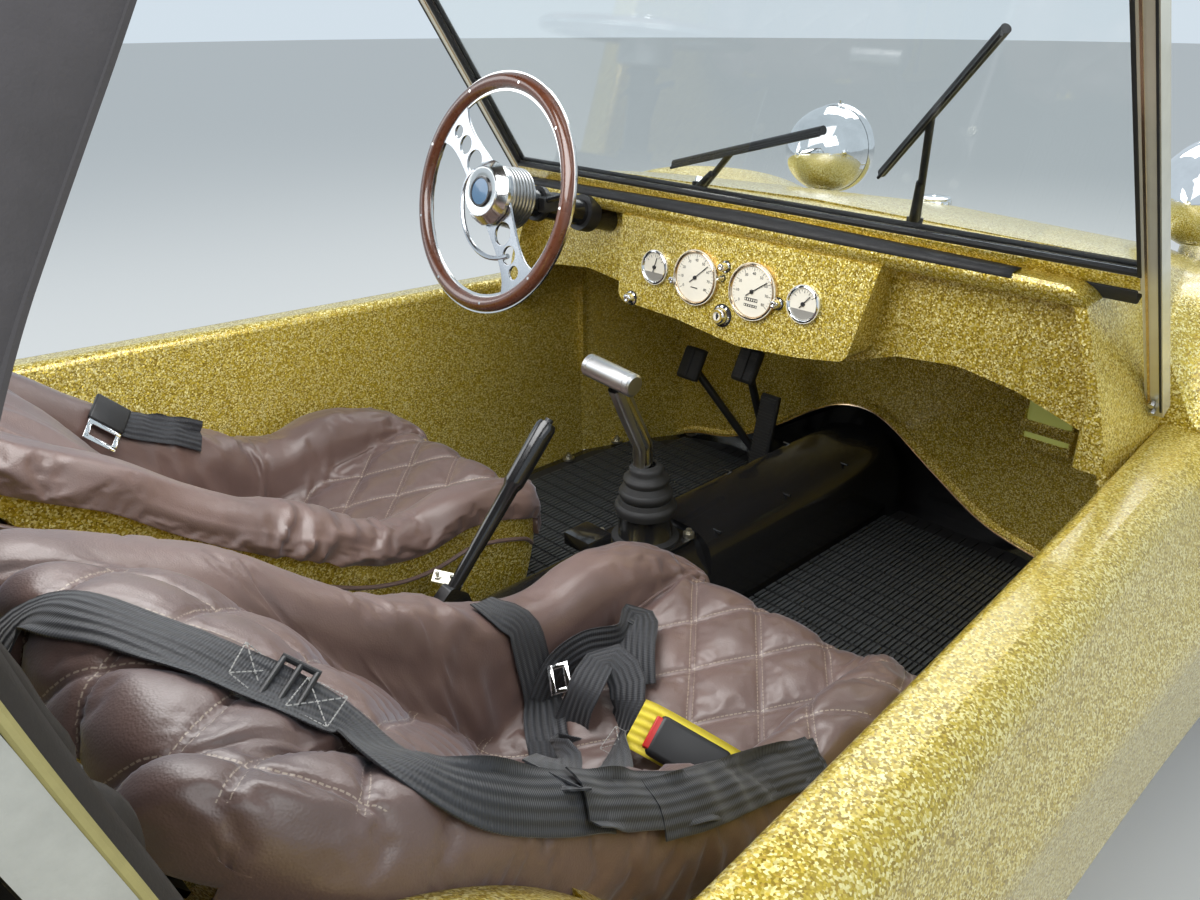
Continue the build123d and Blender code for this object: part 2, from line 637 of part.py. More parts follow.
def gear_boot():
    rings = [(26, TUNNEL_TOP_Z), (52, TUNNEL_TOP_Z), (52, 396), (40, 400), (40, 440), (46, 444), (40, 460), (34, 462),
             (40, 472), (32, 486), (26, 488), (30, 496), (22, 508), (12, 509), (12, 502), (26, 480)]
    face = make_face(Polyline(*[(r, 0, z) for r, z in rings], close=True))
    boot = revolve(face, Axis((0, 0, 0), (0, 0, 1)), 360)
    return Pos(22, 0, 0) * boot


def handbrake():
    lever = rod((-330, 22, 432), (-155, 22, 622), 9)
    lever += rod((-215, 22, 556.9), (-153, 22, 624.2), 13)
    foot = along_y([(-372, TUNNEL_TOP_Z), (-290, TUNNEL_TOP_Z), (-306, 430), (-330, 448), (-352, 430)], 12, 32, 6)
    return lever + foot


def pedals():
    """Clutch, brake and accelerator, hinged at the floor beside the tunnel."""
    # columns: y of the pad, z of the pad, y of the pivot
    out = rod((PEDAL_X, TUNNEL_HALF_W, 268), (PEDAL_X, 240, 268), 10)
    for y, z, foot_y in ((337, 463, 222), (196, 495, 190)):
        out += rod((PEDAL_X, foot_y, 268), (514, y, z - 6), 8)
        pad = Plane(origin=(512, y, z), x_dir=(0, 1, 0), z_dir=(-cos(radians(28)), 0, sin(radians(28))))
        out += pad * Box(48, 66, 10)
    treadle = Plane(origin=(512, 147, 366), x_dir=(0, 1, 0), z_dir=(-cos(radians(12)), 0, sin(radians(12))))
    out += treadle * Box(40, 158, 8)
    out += rod((505, 147, 331), (PEDAL_X, 147, 268), 7)
    return out


# Seats

def shifted(points, d):
    """Open chain of points moved d to its left, with the corners kept."""
    lines = []
    for (x0, z0), (x1, z1) in zip(points, points[1:]):
        n = hypot(x1 - x0, z1 - z0)
        dx, dz = -(z1 - z0) / n * d, (x1 - x0) / n * d
        lines.append(((x0 + dx, z0 + dz), (x1 + dx, z1 + dz)))
    out = [lines[0][0]]
    for (a, b), (c, e) in zip(lines, lines[1:]):
        den = (b[0] - a[0]) * (e[1] - c[1]) - (b[1] - a[1]) * (e[0] - c[0])
        t = ((c[0] - a[0]) * (e[1] - c[1]) - (c[1] - a[1]) * (e[0] - c[0])) / den
        out.append((a[0] + t * (b[0] - a[0]), a[1] + t * (b[1] - a[1])))
    return out + [lines[-1][1]]


def seat():
    """Right-hand bucket about y = 0: a thin shell and the pad that fills it, both open above."""
    rim_line = [(-78, 446), (-250, 494), (-330, 482), (-440, 520), (-600, 622), (-700, 690), (-800, 745), (-846, 766)]
    under = [(-846, 766), (-649, 509), (-540, 330), (-470, 262), (-150, 300), (-78, 446)]
    seat_line = [(-60, 470), (-120, 452), (-430, 366), (-563, 509), (-684, 676), (-815, 800)]
    top = [(-900, 900), (-40, 900)]

    def body(inset, lift):
        lower = shifted(under, inset)
        upper = [(x, z + lift) for x, z in rim_line[1:-1]]
        solid = along_y(upper + lower, -SEAT_HALF_W + inset, SEAT_HALF_W - inset)
        plan = along_z([(-70, SEAT_HALF_W - inset), (-70, -SEAT_HALF_W + inset), (-900 + inset, -SEAT_HALF_W + inset),
                        (-900 + inset, SEAT_HALF_W - inset)], 200, 900, [80, 80, 150, 150])
        return solid & plan

    outer = body(0, 0)
    hollow = body(SHELL_T, 40)
    shell = outer - hollow
    for y in (-RUNNER_Y, RUNNER_Y):
        shell += block(-460, -180, y - 8, y + 8, FLOOR_Z, 320) - outer
    pad = body(SHELL_T + SEAT_GAP, 0)
    inner = SEAT_HALF_W - BOLSTER_W
    pad -= along_y(seat_line + top, -inner, inner, [20, 60, 120, 90, 90, 20, 0, 0])
    return shell, pad


# Lamps, caps and bumpers

def headlamps():
    """Bullet lamps on a stem and a foot."""
    x, y, z = LAMP_X, LAMP_Y, LAMP_Z
    r = HEADLAMP_R
    wire = Wire([Line((-r - 16, 0, 0), (46, 0, 0)), Line((46, 0, 0), (46, 0, r - 8)), Line((46, 0, r - 8), (32, 0, r)),
                 Line((32, 0, r), (6, 0, r)),
                 ThreePointArc((6, 0, r), (-r * 0.66, 0, r * 0.72), (-r - 16, 0, 6)),
                 Line((-r - 16, 0, 6), (-r - 16, 0, 0))])
    bowl = revolve(make_face(wire), Axis((0, 0, 0), (1, 0, 0)), 360)
    lamp = Pos(x, y, z) * bowl
    lamp += rod((x - 4, y, LAMP_FOOT_Z + 20), (x - 4, y, z - 50), 15)
    lamp += rod((x - 4, y, LAMP_FOOT_Z), (x - 4, y, LAMP_FOOT_Z + 34), 26)
    return pair(lamp)


def filler_cap():
    x, z = FILLER_X, FILLER_Z
    cap = rod((x, 0, z - 30), (x, 0, z), 24) + rod((x, 0, z - 8), (x, 0, z + 10), 30)
    return cap


def front_bumper():
    """Tube bow with an upper hoop, on two brackets to the beam; the brackets hold the towing eyes."""
    x = NOSE_X - BUMPER_R
    half = [(x - 130, 560, 400), (x - 14, 470, 400), (x, 0, 400), (x - 14, -470, 400), (x - 130, -560, 400)]
    bow = pipe(half, BUMPER_R, [120, 1500, 120])
    hoop = pipe([(x - 6, 190, 400), (x - 40, 170, 545), (x - 40, -170, 545), (x - 6, -190, 400)], BUMPER_R - 4, [70, 70])
    bumper = bow + hoop
    for y in (-EYE_Y, EYE_Y):
        bumper += along_y([(BEAM_X + BEAM_R, 370), (BEAM_X + BEAM_R, 428), (x, 424), (x, 330), (x - 48, 330),
                           (x - 60, 372)], y - 5, y + 5)
        bumper -= rod((x - 24, y - 8, 352), (x - 24, y + 8, 352), EYE_R)
    return bumper


def rear_bumper():
    """Tube bow round the engine with a hoop, a plate bracket and two arms forward to the torsion tube."""
    x = TAIL_X + BUMPER_R
    z = REAR_BAR_Z
    bow = pipe([(x + 330, 520, z), (x + 60, 500, z), (x, 380, z), (x, -380, z), (x + 60, -500, z), (x + 330, -520, z)],
               BUMPER_R, [90, 90, 90, 90])
    hoop = pipe([(x, 250, z), (x + 10, 240, z + 190), (x + 10, -240, z + 190), (x, -250, z)], BUMPER_R - 4, [80, 80])
    bumper = bow + hoop
    for y in (-ARM_Y_REAR, ARM_Y_REAR):
        bumper += rod((TORSION_X - 10, y, TORSION_Z + 30), (TORSION_X - 110, y, z), 12)
        bumper += rod((TORSION_X - 114, y, z), (x, y, z), 12)
        bumper += block(x + 30, x + 80, y - 5, y + 5, z - 56, z)
        bumper -= rod((x + 55, y - 8, z - 36), (x + 55, y + 8, z - 36), EYE_R)
    plate = block(x - 2, x + 2, -130, 130, z + 60, z + 110) + block(x, x + 12, -130, -110, z + 60, z + 184)
    plate += block(x, x + 12, 110, 130, z + 60, z + 184)
    for y in (-PLATE_HOLE_Y / 2, PLATE_HOLE_Y / 2):
        plate -= rod((x - 10, y, z + 85), (x + 10, y, z + 85), PLATE_HOLE_R)
    return bumper + plate


def tail_lamps():
    lamp = rod((REAR_END_X - 28, 735, 610), (REAR_END_X + WALL, 735, 610), LAMP_R)
    lamp += rod((REAR_END_X - 8, 735, 610), (REAR_END_X, 735, 610), LAMP_R + 8)
    return pair(lamp)


def washer_bottle():
    """Fluid bottle in a strap holder on the right side of the bulkhead."""
    x1 = BULKHEAD_X - WALL
    x0 = x1 - BOTTLE_D
    y0, y1 = BOTTLE_Y - BOTTLE_W / 2, BOTTLE_Y + BOTTLE_W / 2
    bottle = block(x0 + SEAT_GAP, x1 - SEAT_GAP, y0, y1, BOTTLE_Z, BOTTLE_Z + BOTTLE_H)
    bottle = fillet(bottle.edges().filter_by(Axis.Z), 9)
    bottle += rod(((x0 + x1) / 2, BOTTLE_Y, BOTTLE_Z + BOTTLE_H), ((x0 + x1) / 2, BOTTLE_Y, BOTTLE_Z + BOTTLE_H + 16), 14)
    shelf = block(x0 - 3, x1, y0 - 3, y1 + 3, BOTTLE_Z - 3, BOTTLE_Z)
    straps = block(x0 - 3, x1, y0 - 3, y0, BOTTLE_Z - 3, BOTTLE_Z + 60)
    straps += block(x0 - 3, x1, y1, y1 + 3, BOTTLE_Z - 3, BOTTLE_Z + 60)
    straps += block(x0 - 3, x0, y0 - 3, y1 + 3, BOTTLE_Z - 3, BOTTLE_Z + 12)
    return bottle, shelf + straps


# Engine and gearbox

def transaxle():
    """Gearbox, axle tubes, torsion bar tube, spring plates and stub axles."""
    x, z = REAR_AXLE_X, TYRE_R_REAR
    hub_y = TRACK_REAR / 2 - 95
    box = along_x([(-95, 250), (95, 250), (120, 335), (95, 425), (-95, 425), (-120, 335)], x - 90, x + 60, 30)
    box += rod((x + 50, 0, 350), (x + 215, 0, 350), 72)
    box += rod((TORSION_X, -PAN_HALF_W + 10, TORSION_Z), (TORSION_X, PAN_HALF_W - 10, TORSION_Z), 44)
    box += block(TORSION_X, x + 215, -60, 60, TORSION_Z - 20, TORSION_Z + 30)
    half = rod((x, 80, z), (x, hub_y - 14, z), 36) + rod((x, hub_y - 40, z), (x, hub_y - 12, z), 62)
    half += rod((x, hub_y - 20, z), (x, hub_y + 100, z), SPINDLE_R)
    half += along_y([(TORSION_X + 40, TORSION_Z - 30), (TORSION_X + 40, TORSION_Z + 30), (x - 40, z + 22), (x - 40, z - 22)],
                    PAN_HALF_W - 12, PAN_HALF_W - 4)
    half += rod((x - 30, 500, z + 10), (x - 70, 470, 610), 20)
    return box + pair(half)


def engine():
    """Flat four: crankcase, finned barrels, heads, pulley, inlet and air cleaner."""
    x0 = REAR_AXLE_X - 90
    z = 330
    case = along_x([(-110, 235), (110, 235), (125, 300), (110, 430), (-110, 430), (-125, 300)], ENGINE_END_X, x0, 24)
    half = block(x0 - 420, x0 - 60, 330, 400, z - 62, z + 62)
    for x in (x0 - 345, x0 - 140):
        for i in range(8):
            y = 118 + i * 27
            half += rod((x, y, z), (x, y + 13, z), 84)
        half += rod((x, 110, z), (x, 335, z), 60)
    half += block(x0 - 400, x0 - 80, 400, 424, z - 44, z + 44)
    case += pair(half)
    case += rod((ENGINE_END_X - 30, 0, 330), (ENGINE_END_X, 0, 330), 84)
    case += rod((ENGINE_END_X + 130, 0, 428), (ENGINE_END_X + 130, 0, 560), 26)
    case += rod((ENGINE_END_X + 130, 0, 555), (ENGINE_END_X + 130, 0, 640), 95)
    return case


def fan_shroud():
    """Upright fan housing over the crankcase with its dynamo."""
    x1 = REAR_AXLE_X - 235
    x0 = x1 - 110
    face = [(-330, 432), (330, 432), (330, 500), (150, 560), (150, 690), (-150, 690), (-150, 560), (-330, 500)]
    shroud = along_x(face, x0, x1, [0, 0, 30, 60, 110, 110, 60, 30])
    shroud -= rod((x0 - 1, 0, 560), (x0 + 30, 0, 560), 112)
    shroud += rod((x0 - 150, 0, 560), (x0 + 40, 0, 560), 45)
    return shroud


def exhaust():
    """Cross silencer under the tail with two pipes from the heads and two tail pipes."""
    x = ENGINE_END_X - 20
    out = rod((x, -250, 215), (x, 250, 215), 48)
    half = pipe([(ENGINE_END_X + 120, 360, 266), (ENGINE_END_X + 120, 360, 200), (ENGINE_END_X + 40, 320, 200),
                 (x, 200, 215)], 18, [28, 40])
    half += rod((x, 170, 205), (x - 110, 170, 205), 18)
    return out + pair(half)


# Soft top

def soft_top():
    """Roof, quarters and back as one skin, open to the front and at both doors."""
    head_x = on_screen(GLASS_H + POST_W)[0] + 14

    def tent(inset):
        top = [(head_x, ROOF_HEAD_Z - inset), (-300, ROOF_Z - inset), (ROOF_BACK_X, ROOF_Z - 20 - inset),
               (ROOF_END_X + inset, DECK_Z), (head_x, DECK_Z)]
        bows = along_y(top, -700, 700, [0, 900, 150, 0, 0])
        across = [(TOP_FOOT_Y - inset, DECK_Z), (TOP_EDGE_Y - inset, ROOF_Z + 6 - inset),
                  (-TOP_EDGE_Y + inset, ROOF_Z + 6 - inset), (-TOP_FOOT_Y + inset, DECK_Z)]
        return bows & along_x(across, ROOF_END_X - 50, head_x, [0, 80, 80, 0])

    skin = tent(0) - tent(TOP_T)
    door = along_y([(head_x + 60, 600), (head_x + 60, 1222), (-795, 1240), (-842, 1159), (-900, 1064), (-945, 960),
                    (-955, 600)], -800, 800, [0, 0, 60, 0, 90, 90, 0])
    return skin - door


def soft_top_frame():
    """Main hoop with feet on the sills, a front bow and two side rails along the roof's edge."""
    gap = TOP_T + TOP_TUBE_R + 1
    top_z = ROOF_Z - gap - 36
    y_top = TOP_EDGE_Y - gap - 22
    y_foot = 622
    hoop = pipe([(HOOP_FOOT_X, y_foot, HOOP_FOOT_Z), (HOOP_X - 12, y_foot - 24, 990), (HOOP_X, y_top, top_z),
                 (HOOP_X, -y_top, top_z), (HOOP_X - 12, -y_foot + 24, 990), (HOOP_FOOT_X, -y_foot, HOOP_FOOT_Z)],
                TOP_TUBE_R, [400, 90, 90, 400])
    head_x, head_z = on_screen(GLASS_H - 20)
    rail_y = GLASS_HALF_W + POST_W / 2
    rail = rod((head_x, rail_y, head_z), (HOOP_X, rail_y, top_z - 36), TOP_TUBE_R)
    return hoop + pair(rail)


# The whole car

front_solid = front_skin(0)
inside = front_skin(WALL)
shell = front_shell()
side = tub_side()
roll_wall = scuttle()
split = block(SIDE_FRONT_X, BONNET_END_X, -1, 440, 400, 900)
frame, glass = windscreen()
pod_panel = dashboard()
column = steering_column()
column_core = rod(along_column(COLUMN_TOP), along_column(COLUMN_END), COLUMN_R)
wheel_rim, wheel_spokes = steering_wheel()
bottle, holder = washer_bottle()
wing = rear_wing()
wing_bodies = pair(rear_skin(0))
seat_shell, seat_pad = seat()
caps = filler_cap()
lamps = headlamps()
wiper_set = wipers()
pan = floorpan()

parts = wheels()
knuckle_left = knuckle()
parts["knuckle_left"] = knuckle_left
parts["knuckle_right"] = mirrored(knuckle_left)
parts["drop_arm"] = drop_arm()
parts["tie_rods"] = tie_rods()
parts["floorpan"] = pan
parts["floor_mats"] = floor_mats()

parts["tub_sides"] = pair(side - frame)
parts["front_axle_beam"] = front_axle_beam() - pan
parts["front_bumper"] = front_bumper() - parts["front_axle_beam"]
parts["front_wings"] = pair(shell - split - side) - parts["front_bumper"]
parts["bonnet"] = pair((shell & split) + (roll_wall - side)) - frame - caps - lamps - wiper_set - column_core
tub_room = pair(inside + scuttle_block(WALL))
parts["front_tub"] = front_tub(tub_room) - parts["tub_sides"] - parts["front_wings"] - pan - column_core - lamps + holder
parts["dashboard"] = biggest((pod_panel & pair(scuttle_block(WALL) + block(100, 300, 0, 540, 600, ROLL_UNDER_Z)))
                             - column_core - parts["tub_sides"] - parts["bonnet"])
parts["gauges"] = joined(gauges())
parts["windscreen_frame"] = frame - parts["tub_sides"]
parts["windscreen_glass"] = glass
parts["wipers"] = wiper_set
parts["headlamps"] = lamps
parts["filler_cap"] = caps
parts["steering_column"] = column
parts["steering_wheel_rim"] = wheel_rim
parts["steering_wheel_spokes"] = wheel_spokes
parts["gear_lever"] = gear_lever()
parts["gear_boot"] = gear_boot() - parts["gear_lever"]
parts["handbrake"] = handbrake()
parts["pedals"] = pedals() - pan
parts["washer_bottle"] = bottle
for name, y in (("left", SEAT_Y), ("right", -SEAT_Y)):
    parts[f"seat_shell_{name}"] = Pos(0, y, 0) * seat_shell
    parts[f"seat_pad_{name}"] = Pos(0, y, 0) * seat_pad
parts["rear_wings"] = pair(wing - side)
parts["rear_body"] = biggest(rear_body() - parts["tub_sides"] - wing_bodies - pan)
parts["belt_reels"] = belt_reels() - parts["rear_body"]
parts["soft_top_frame"] = soft_top_frame() - frame - wing_bodies
parts["soft_top"] = soft_top() - frame - wing_bodies - parts["rear_body"] - parts["soft_top_frame"]
parts["transaxle"] = transaxle() - pan
parts["engine"] = engine() - parts["transaxle"]
parts["fan_shroud"] = fan_shroud() - parts["engine"]
parts["exhaust"] = exhaust() - parts["engine"]
parts["rear_bumper"] = rear_bumper() - parts["engine"] - parts["transaxle"]
parts["tail_lamps"] = tail_lamps()

for node, shape in parts.items():
    export_step(shape, f"parts/{node}.step")
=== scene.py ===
import bpy
import bmesh
import random
import time
from math import copysign, cos, dist, exp, hypot, pi, radians, sin, sqrt, tan
from mathutils import Matrix, Vector
from mathutils.bvhtree import BVHTree
from mathutils.noise import noise as noiseAt


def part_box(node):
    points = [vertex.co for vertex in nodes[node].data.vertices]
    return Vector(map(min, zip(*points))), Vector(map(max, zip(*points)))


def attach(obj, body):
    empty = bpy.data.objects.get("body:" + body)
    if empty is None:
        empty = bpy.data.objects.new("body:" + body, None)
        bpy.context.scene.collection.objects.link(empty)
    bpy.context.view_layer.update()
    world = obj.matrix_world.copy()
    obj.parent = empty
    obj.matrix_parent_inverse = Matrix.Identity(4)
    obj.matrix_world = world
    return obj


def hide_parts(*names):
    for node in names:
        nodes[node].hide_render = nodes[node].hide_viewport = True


# Dresses an open two-seat dune buggy: flaked gold body, quilted seats, harness, soft top, wheels and engine.
# Metres, +X to the front, +Y to the car's left, +Z up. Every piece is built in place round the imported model.

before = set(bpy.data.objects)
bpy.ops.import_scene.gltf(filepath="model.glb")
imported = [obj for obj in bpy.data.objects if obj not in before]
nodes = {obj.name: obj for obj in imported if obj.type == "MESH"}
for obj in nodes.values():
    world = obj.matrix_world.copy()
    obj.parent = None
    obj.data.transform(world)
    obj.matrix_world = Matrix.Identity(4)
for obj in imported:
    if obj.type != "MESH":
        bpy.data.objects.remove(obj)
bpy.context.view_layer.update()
random.seed(7)
print("frame loaded")

car = {
    "floorZ": 0.237, "seatY": 0.325,
    "screenFoot": (0.2536, 0.871), "screenRake": radians(32.8), "glassHeight": 0.45, "glassHalf": 0.55,
    "faceX": 0.21, "faceZ": 0.75, "faceTilt": radians(6.5),
    "wheelCentre": (0.01, 0.327, 0.871), "columnTilt": radians(16.5),
}

view = {"place": (-0.9627, -0.9263, 1.1623), "yaw": radians(46.19), "pitch": radians(-24.8),
        "roll": radians(0.13), "lens": 30.08}
photo = {"width": 1200, "height": 900, "sensor": 36}


# Mesh helpers

# Matrix that turns +Z to axis and +X as near to side as it can, and moves to origin
def placeOn(origin, axis, side=(0, 1, 0)):
    z = Vector(axis).normalized()
    x = Vector(side) - z * Vector(side).dot(z)
    if x.length < 1e-4:
        x = Vector((1, 0, 0)) - z * z.x
    x.normalize()
    turned = Matrix((x, z.cross(x), z)).transposed().to_4x4()
    return Matrix.Translation(origin) @ turned


# Makes an object of a bmesh that is already in place
def addPiece(name, bm, material, body="body", smooth=35):
    bmesh.ops.recalc_face_normals(bm, faces=bm.faces)
    mesh = bpy.data.meshes.new(name)
    bm.to_mesh(mesh)
    bm.free()
    piece = bpy.data.objects.new(name, mesh)
    bpy.context.scene.collection.objects.link(piece)
    mesh.shade_smooth()
    mesh.set_sharp_from_angle(angle=radians(smooth))
    mesh.materials.append(material)
    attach(piece, body)
    return piece


# Spins (along, radius) points about axis through origin
def addLathe(bm, profile, origin, axis, steps=32):
    line = [bm.verts.new((r, 0, a)) for a, r in profile]
    edges = [bm.edges.new(two) for two in zip(line, line[1:])]
    bmesh.ops.spin(bm, geom=line + edges, axis=(0, 0, 1), cent=(0, 0, 0), angle=2 * pi, steps=steps,
                   use_merge=True)
    faces = {f for v in line for f in v.link_faces}
    grow = set(faces)
    while grow:
        grow = {g for f in grow for e in f.edges for g in e.link_faces} - faces
        faces |= grow
    verts = list({v for f in faces for v in f.verts})
    bmesh.ops.transform(bm, matrix=placeOn(origin, axis), verts=verts)
    bmesh.ops.remove_doubles(bm, verts=verts, dist=1e-5)


def addRod(bm, start, end, r, steps=16, r2=None):
    way = Vector(end) - Vector(start)
    place = placeOn((Vector(start) + Vector(end)) / 2, way)
    bmesh.ops.create_cone(bm, cap_ends=True, segments=steps, radius1=r, radius2=r if r2 is None else r2,
                          depth=way.length, matrix=place)


def bevelAll(bm, verts, width, segments=2):
    edges = list({e for v in verts for e in v.link_edges})
    bmesh.ops.bevel(bm, geom=edges, offset=width, affect="EDGES", segments=segments, profile=0.5, material=-1)


def addBox(bm, low, high, bevel=0, matrix=Matrix(), segments=2):
    low, high = Vector(low), Vector(high)
    place = matrix @ Matrix.Translation((low + high) / 2) @ Matrix.Diagonal((*(high - low), 1))
    verts = bmesh.ops.create_cube(bm, size=1, matrix=place)["verts"]
    if bevel:
        bevelAll(bm, verts, bevel, segments)


def localBox(bm, matrix, low, high, bevel=0):
    addBox(bm, low, high, bevel, matrix, 3)


# Faces between neighbouring rows of vertices
def skinRows(bm, rows, closed=False):
    for first, second in zip(rows, rows[1:]):
        count = len(first)
        for k in range(count if closed else count - 1):
            after = (k + 1) % count
            bm.faces.new((first[k], first[after], second[after], second[k]))


def meshOfCurve(name, curve):
    holder = bpy.data.objects.new(name, curve)
    bpy.context.scene.collection.objects.link(holder)
    bpy.context.view_layer.update()
    mesh = bpy.data.meshes.new_from_object(holder.evaluated_get(bpy.context.evaluated_depsgraph_get()))
    bpy.data.objects.remove(holder)
    return mesh


def joinMesh(bm, mesh):
    bm.from_mesh(mesh)
    bpy.data.meshes.remove(mesh)


# Round bar along a smooth curve through control points, as a mesh
def tubeAlong(name, points, r, material, body="body", sides=8, kind="NURBS", cyclic=False):
    curve = bpy.data.curves.new(name, "CURVE")
    curve.dimensions = "3D"
    spline = curve.splines.new(kind)
    spline.points.add(len(points) - 1)
    for p, co in zip(spline.points, points):
        p.co = (*co, 1)
    spline.use_cyclic_u = cyclic
    if kind == "NURBS":
        spline.order_u = 3
        spline.use_endpoint_u = not cyclic
        spline.resolution_u = 8
    curve.bevel_depth = r
    curve.bevel_resolution = max(1, sides // 4)
    curve.use_fill_caps = True
    bm = bmesh.new()
    joinMesh(bm, meshOfCurve(name + "Curve", curve))
    bmesh.ops.remove_doubles(bm, verts=bm.verts, dist=1e-6)
    return addPiece(name, bm, material, body)


# Materials

def newMaterial(name, sockets):
    material = bpy.data.materials.new(name)
    material.use_nodes = True
    shader = material.node_tree.nodes["Principled BSDF"]
    for socket, value in sockets.items():
        shader.inputs[socket].default_value = value
    return material


def addNode(material, kind, inputs=None, **settings):
    made = material.node_tree.nodes.new(kind)
    for key, value in settings.items():
        setattr(made, key, value)
    for key, value in (inputs or {}).items():
        if isinstance(value, bpy.types.NodeSocket):
            material.node_tree.links.new(value, made.inputs[key])
        else:
            made.inputs[key].default_value = value
    return made


def toShader(material, **links):
    shader = material.node_tree.nodes["Principled BSDF"]
    for key, socket in links.items():
        entry = shader.inputs["Base Color" if key == "color" else key.capitalize()]
        material.node_tree.links.new(socket, entry)


def objectPoint(material):
    return addNode(material, "ShaderNodeTexCoord").outputs["Object"]


# Colour ramp; stops are (place, colour or grey)
def ramp(material, factor, stops, smooth=False):
    made = addNode(material, "ShaderNodeValToRGB", {"Fac": factor})
    made.color_ramp.interpolation = "EASE" if smooth else "LINEAR"
    elements = made.color_ramp.elements
    while len(elements) < len(stops):
        elements.new(0.5)
    for element, (place, colour) in zip(elements, stops):
        element.position = place
        element.color = (*colour, 1) if hasattr(colour, "__len__") else (colour, colour, colour, 1)
    return made.outputs["Color"]


def bump(material, height, strength, distance=0.001):
    made = addNode(material, "ShaderNodeBump", {"Height": height, "Strength": strength, "Distance": distance})
    return made.outputs["Normal"]


def noise(material, point, scale, detail=3, roughness=0.5):
    return addNode(material, "ShaderNodeTexNoise",
                   {"Vector": point, "Scale": scale, "Detail": detail, "Roughness": roughness}).outputs["Fac"]


# One maths node; values are sockets or numbers
def calc(material, operation, *values):
    return addNode(material, "ShaderNodeMath", dict(enumerate(values)), operation=operation).outputs["Value"]


def vectorCalc(material, operation, inputs):
    return addNode(material, "ShaderNodeVectorMath", inputs, operation=operation).outputs["Vector"]


flake = {"cell": 500, "dark": (0.27, 0.175, 0.008), "mid": (0.6, 0.44, 0.03), "light": (1, 0.9, 0.42),
         "tilt": 0.42}


# Metal flake under a clear coat: each cell has its own shade and its own small tilt
def goldFlake(name):
    material = newMaterial(name, {"Metallic": 0.45, "Roughness": 0.4, "Coat Weight": 0.8,
            "Coat Roughness": 0.15,
                                  "Coat IOR": 1.5})
    cells = addNode(material, "ShaderNodeTexVoronoi",
                    {"Vector": objectPoint(material), "Scale": flake["cell"]})
    split = addNode(material, "ShaderNodeSeparateColor", {"Color": cells.outputs["Color"]})
    stops = [(0, flake["dark"]), (0.55, flake["mid"]), (1, flake["light"])]
    centred = vectorCalc(material, "SUBTRACT", {0: cells.outputs["Color"], 1: (0.5, 0.5, 0.5)})
    tilt = vectorCalc(material, "SCALE", {0: centred, "Scale": flake["tilt"]})
    geometry = addNode(material, "ShaderNodeNewGeometry").outputs["Normal"]
    leaning = vectorCalc(material, "ADD", {0: geometry, 1: tilt})
    toShader(material, color=ramp(material, split.outputs["Red"], stops),
             normal=vectorCalc(material, "NORMALIZE", {0: leaning}))
    return material


def mixed(material, factor, first, second):
    made = addNode(material, "ShaderNodeMix", data_type="RGBA")
    sockets = {i.identifier: i for i in made.inputs}
    for key, value in (("Factor_Float", factor), ("A_Color", first), ("B_Color", second)):
        if isinstance(value, bpy.types.NodeSocket):
            material.node_tree.links.new(value, sockets[key])
        else:
            sockets[key].default_value = (*value, 1) if hasattr(value, "__len__") else value
    return [o for o in made.outputs if o.identifier == "Result_Color"][0]


quilt = {"x": 0.062, "y": 0.051, "row": 0.003, "thread": 0.00045, "pitch": 0.005, "colour": (0.33, 0.26, 0.2)}


# Double rows of thread along the diamond lines of the quilt map, as a mask
def quiltThread(material):
    def maths(operation, *values):
        return calc(material, operation, *values)

    uv = addNode(material, "ShaderNodeUVMap", uv_map="quilt").outputs["UV"]
    split = addNode(material, "ShaderNodeSeparateXYZ", {"Vector": uv})
    along = maths("DIVIDE", split.outputs["X"], quilt["x"])
    across = maths("DIVIDE", split.outputs["Y"], quilt["y"])
    pair = (maths("ADD", along, across), maths("SUBTRACT", along, across))
    wide = 2 / hypot(1 / quilt["x"], 1 / quilt["y"])
    edge = hypot(quilt["x"], quilt["y"]) / 2
    quilted = addNode(material, "ShaderNodeAttribute", attribute_name="quilted").outputs["Fac"]
    rows = []
    for here, other in (pair, pair[::-1]):
        phase = maths("FRACT", maths("MULTIPLY_ADD", here, 0.5, 9))
        gap = maths("MULTIPLY", maths("ABSOLUTE", maths("SUBTRACT", phase, 0.5)), wide)
        band = maths("LESS_THAN", maths("ABSOLUTE", maths("SUBTRACT", gap, quilt["row"])), quilt["thread"])
        beat = maths("FRACT", maths("MULTIPLY_ADD", other, edge / quilt["pitch"], 40))
        rows.append(maths("MULTIPLY", band, maths("GREATER_THAN", beat, 0.3)))
    return maths("MULTIPLY", maths("MAXIMUM", *rows), maths("GREATER_THAN", quilted, 0.55))


def leather(name, colour, dark, stitched=False):
    material = newMaterial(name, {"Roughness": 0.42, "Coat Weight": 0.22, "Coat Roughness": 0.34,
                                  "Specular IOR Level": 0.65, "Sheen Weight": 0.22, "Sheen Roughness": 0.45,
                                  "Sheen Tint": (0.72, 0.82, 1, 1)})
    point = objectPoint(material)
    grain = addNode(material, "ShaderNodeTexVoronoi", {"Vector": point, "Scale": 620}, feature="SMOOTH_F1")
    wrinkle = noise(material, point, 60, 5, 0.6)
    shade = ramp(material, noise(material, point, 7, 4, 0.6), [(0.3, dark), (0.7, colour)], True)
    height = calc(material, "ADD", grain.outputs["Distance"], wrinkle)
    if stitched:
        thread = quiltThread(material)
        shade = mixed(material, thread, shade, quilt["colour"])
        height = calc(material, "MULTIPLY_ADD", thread, 0.8, height)
    toShader(material, color=shade, roughness=ramp(material, wrinkle, [(0.25, 0.36), (0.75, 0.52)]),
             normal=bump(material, height, 0.35, 0.0006))
    return material


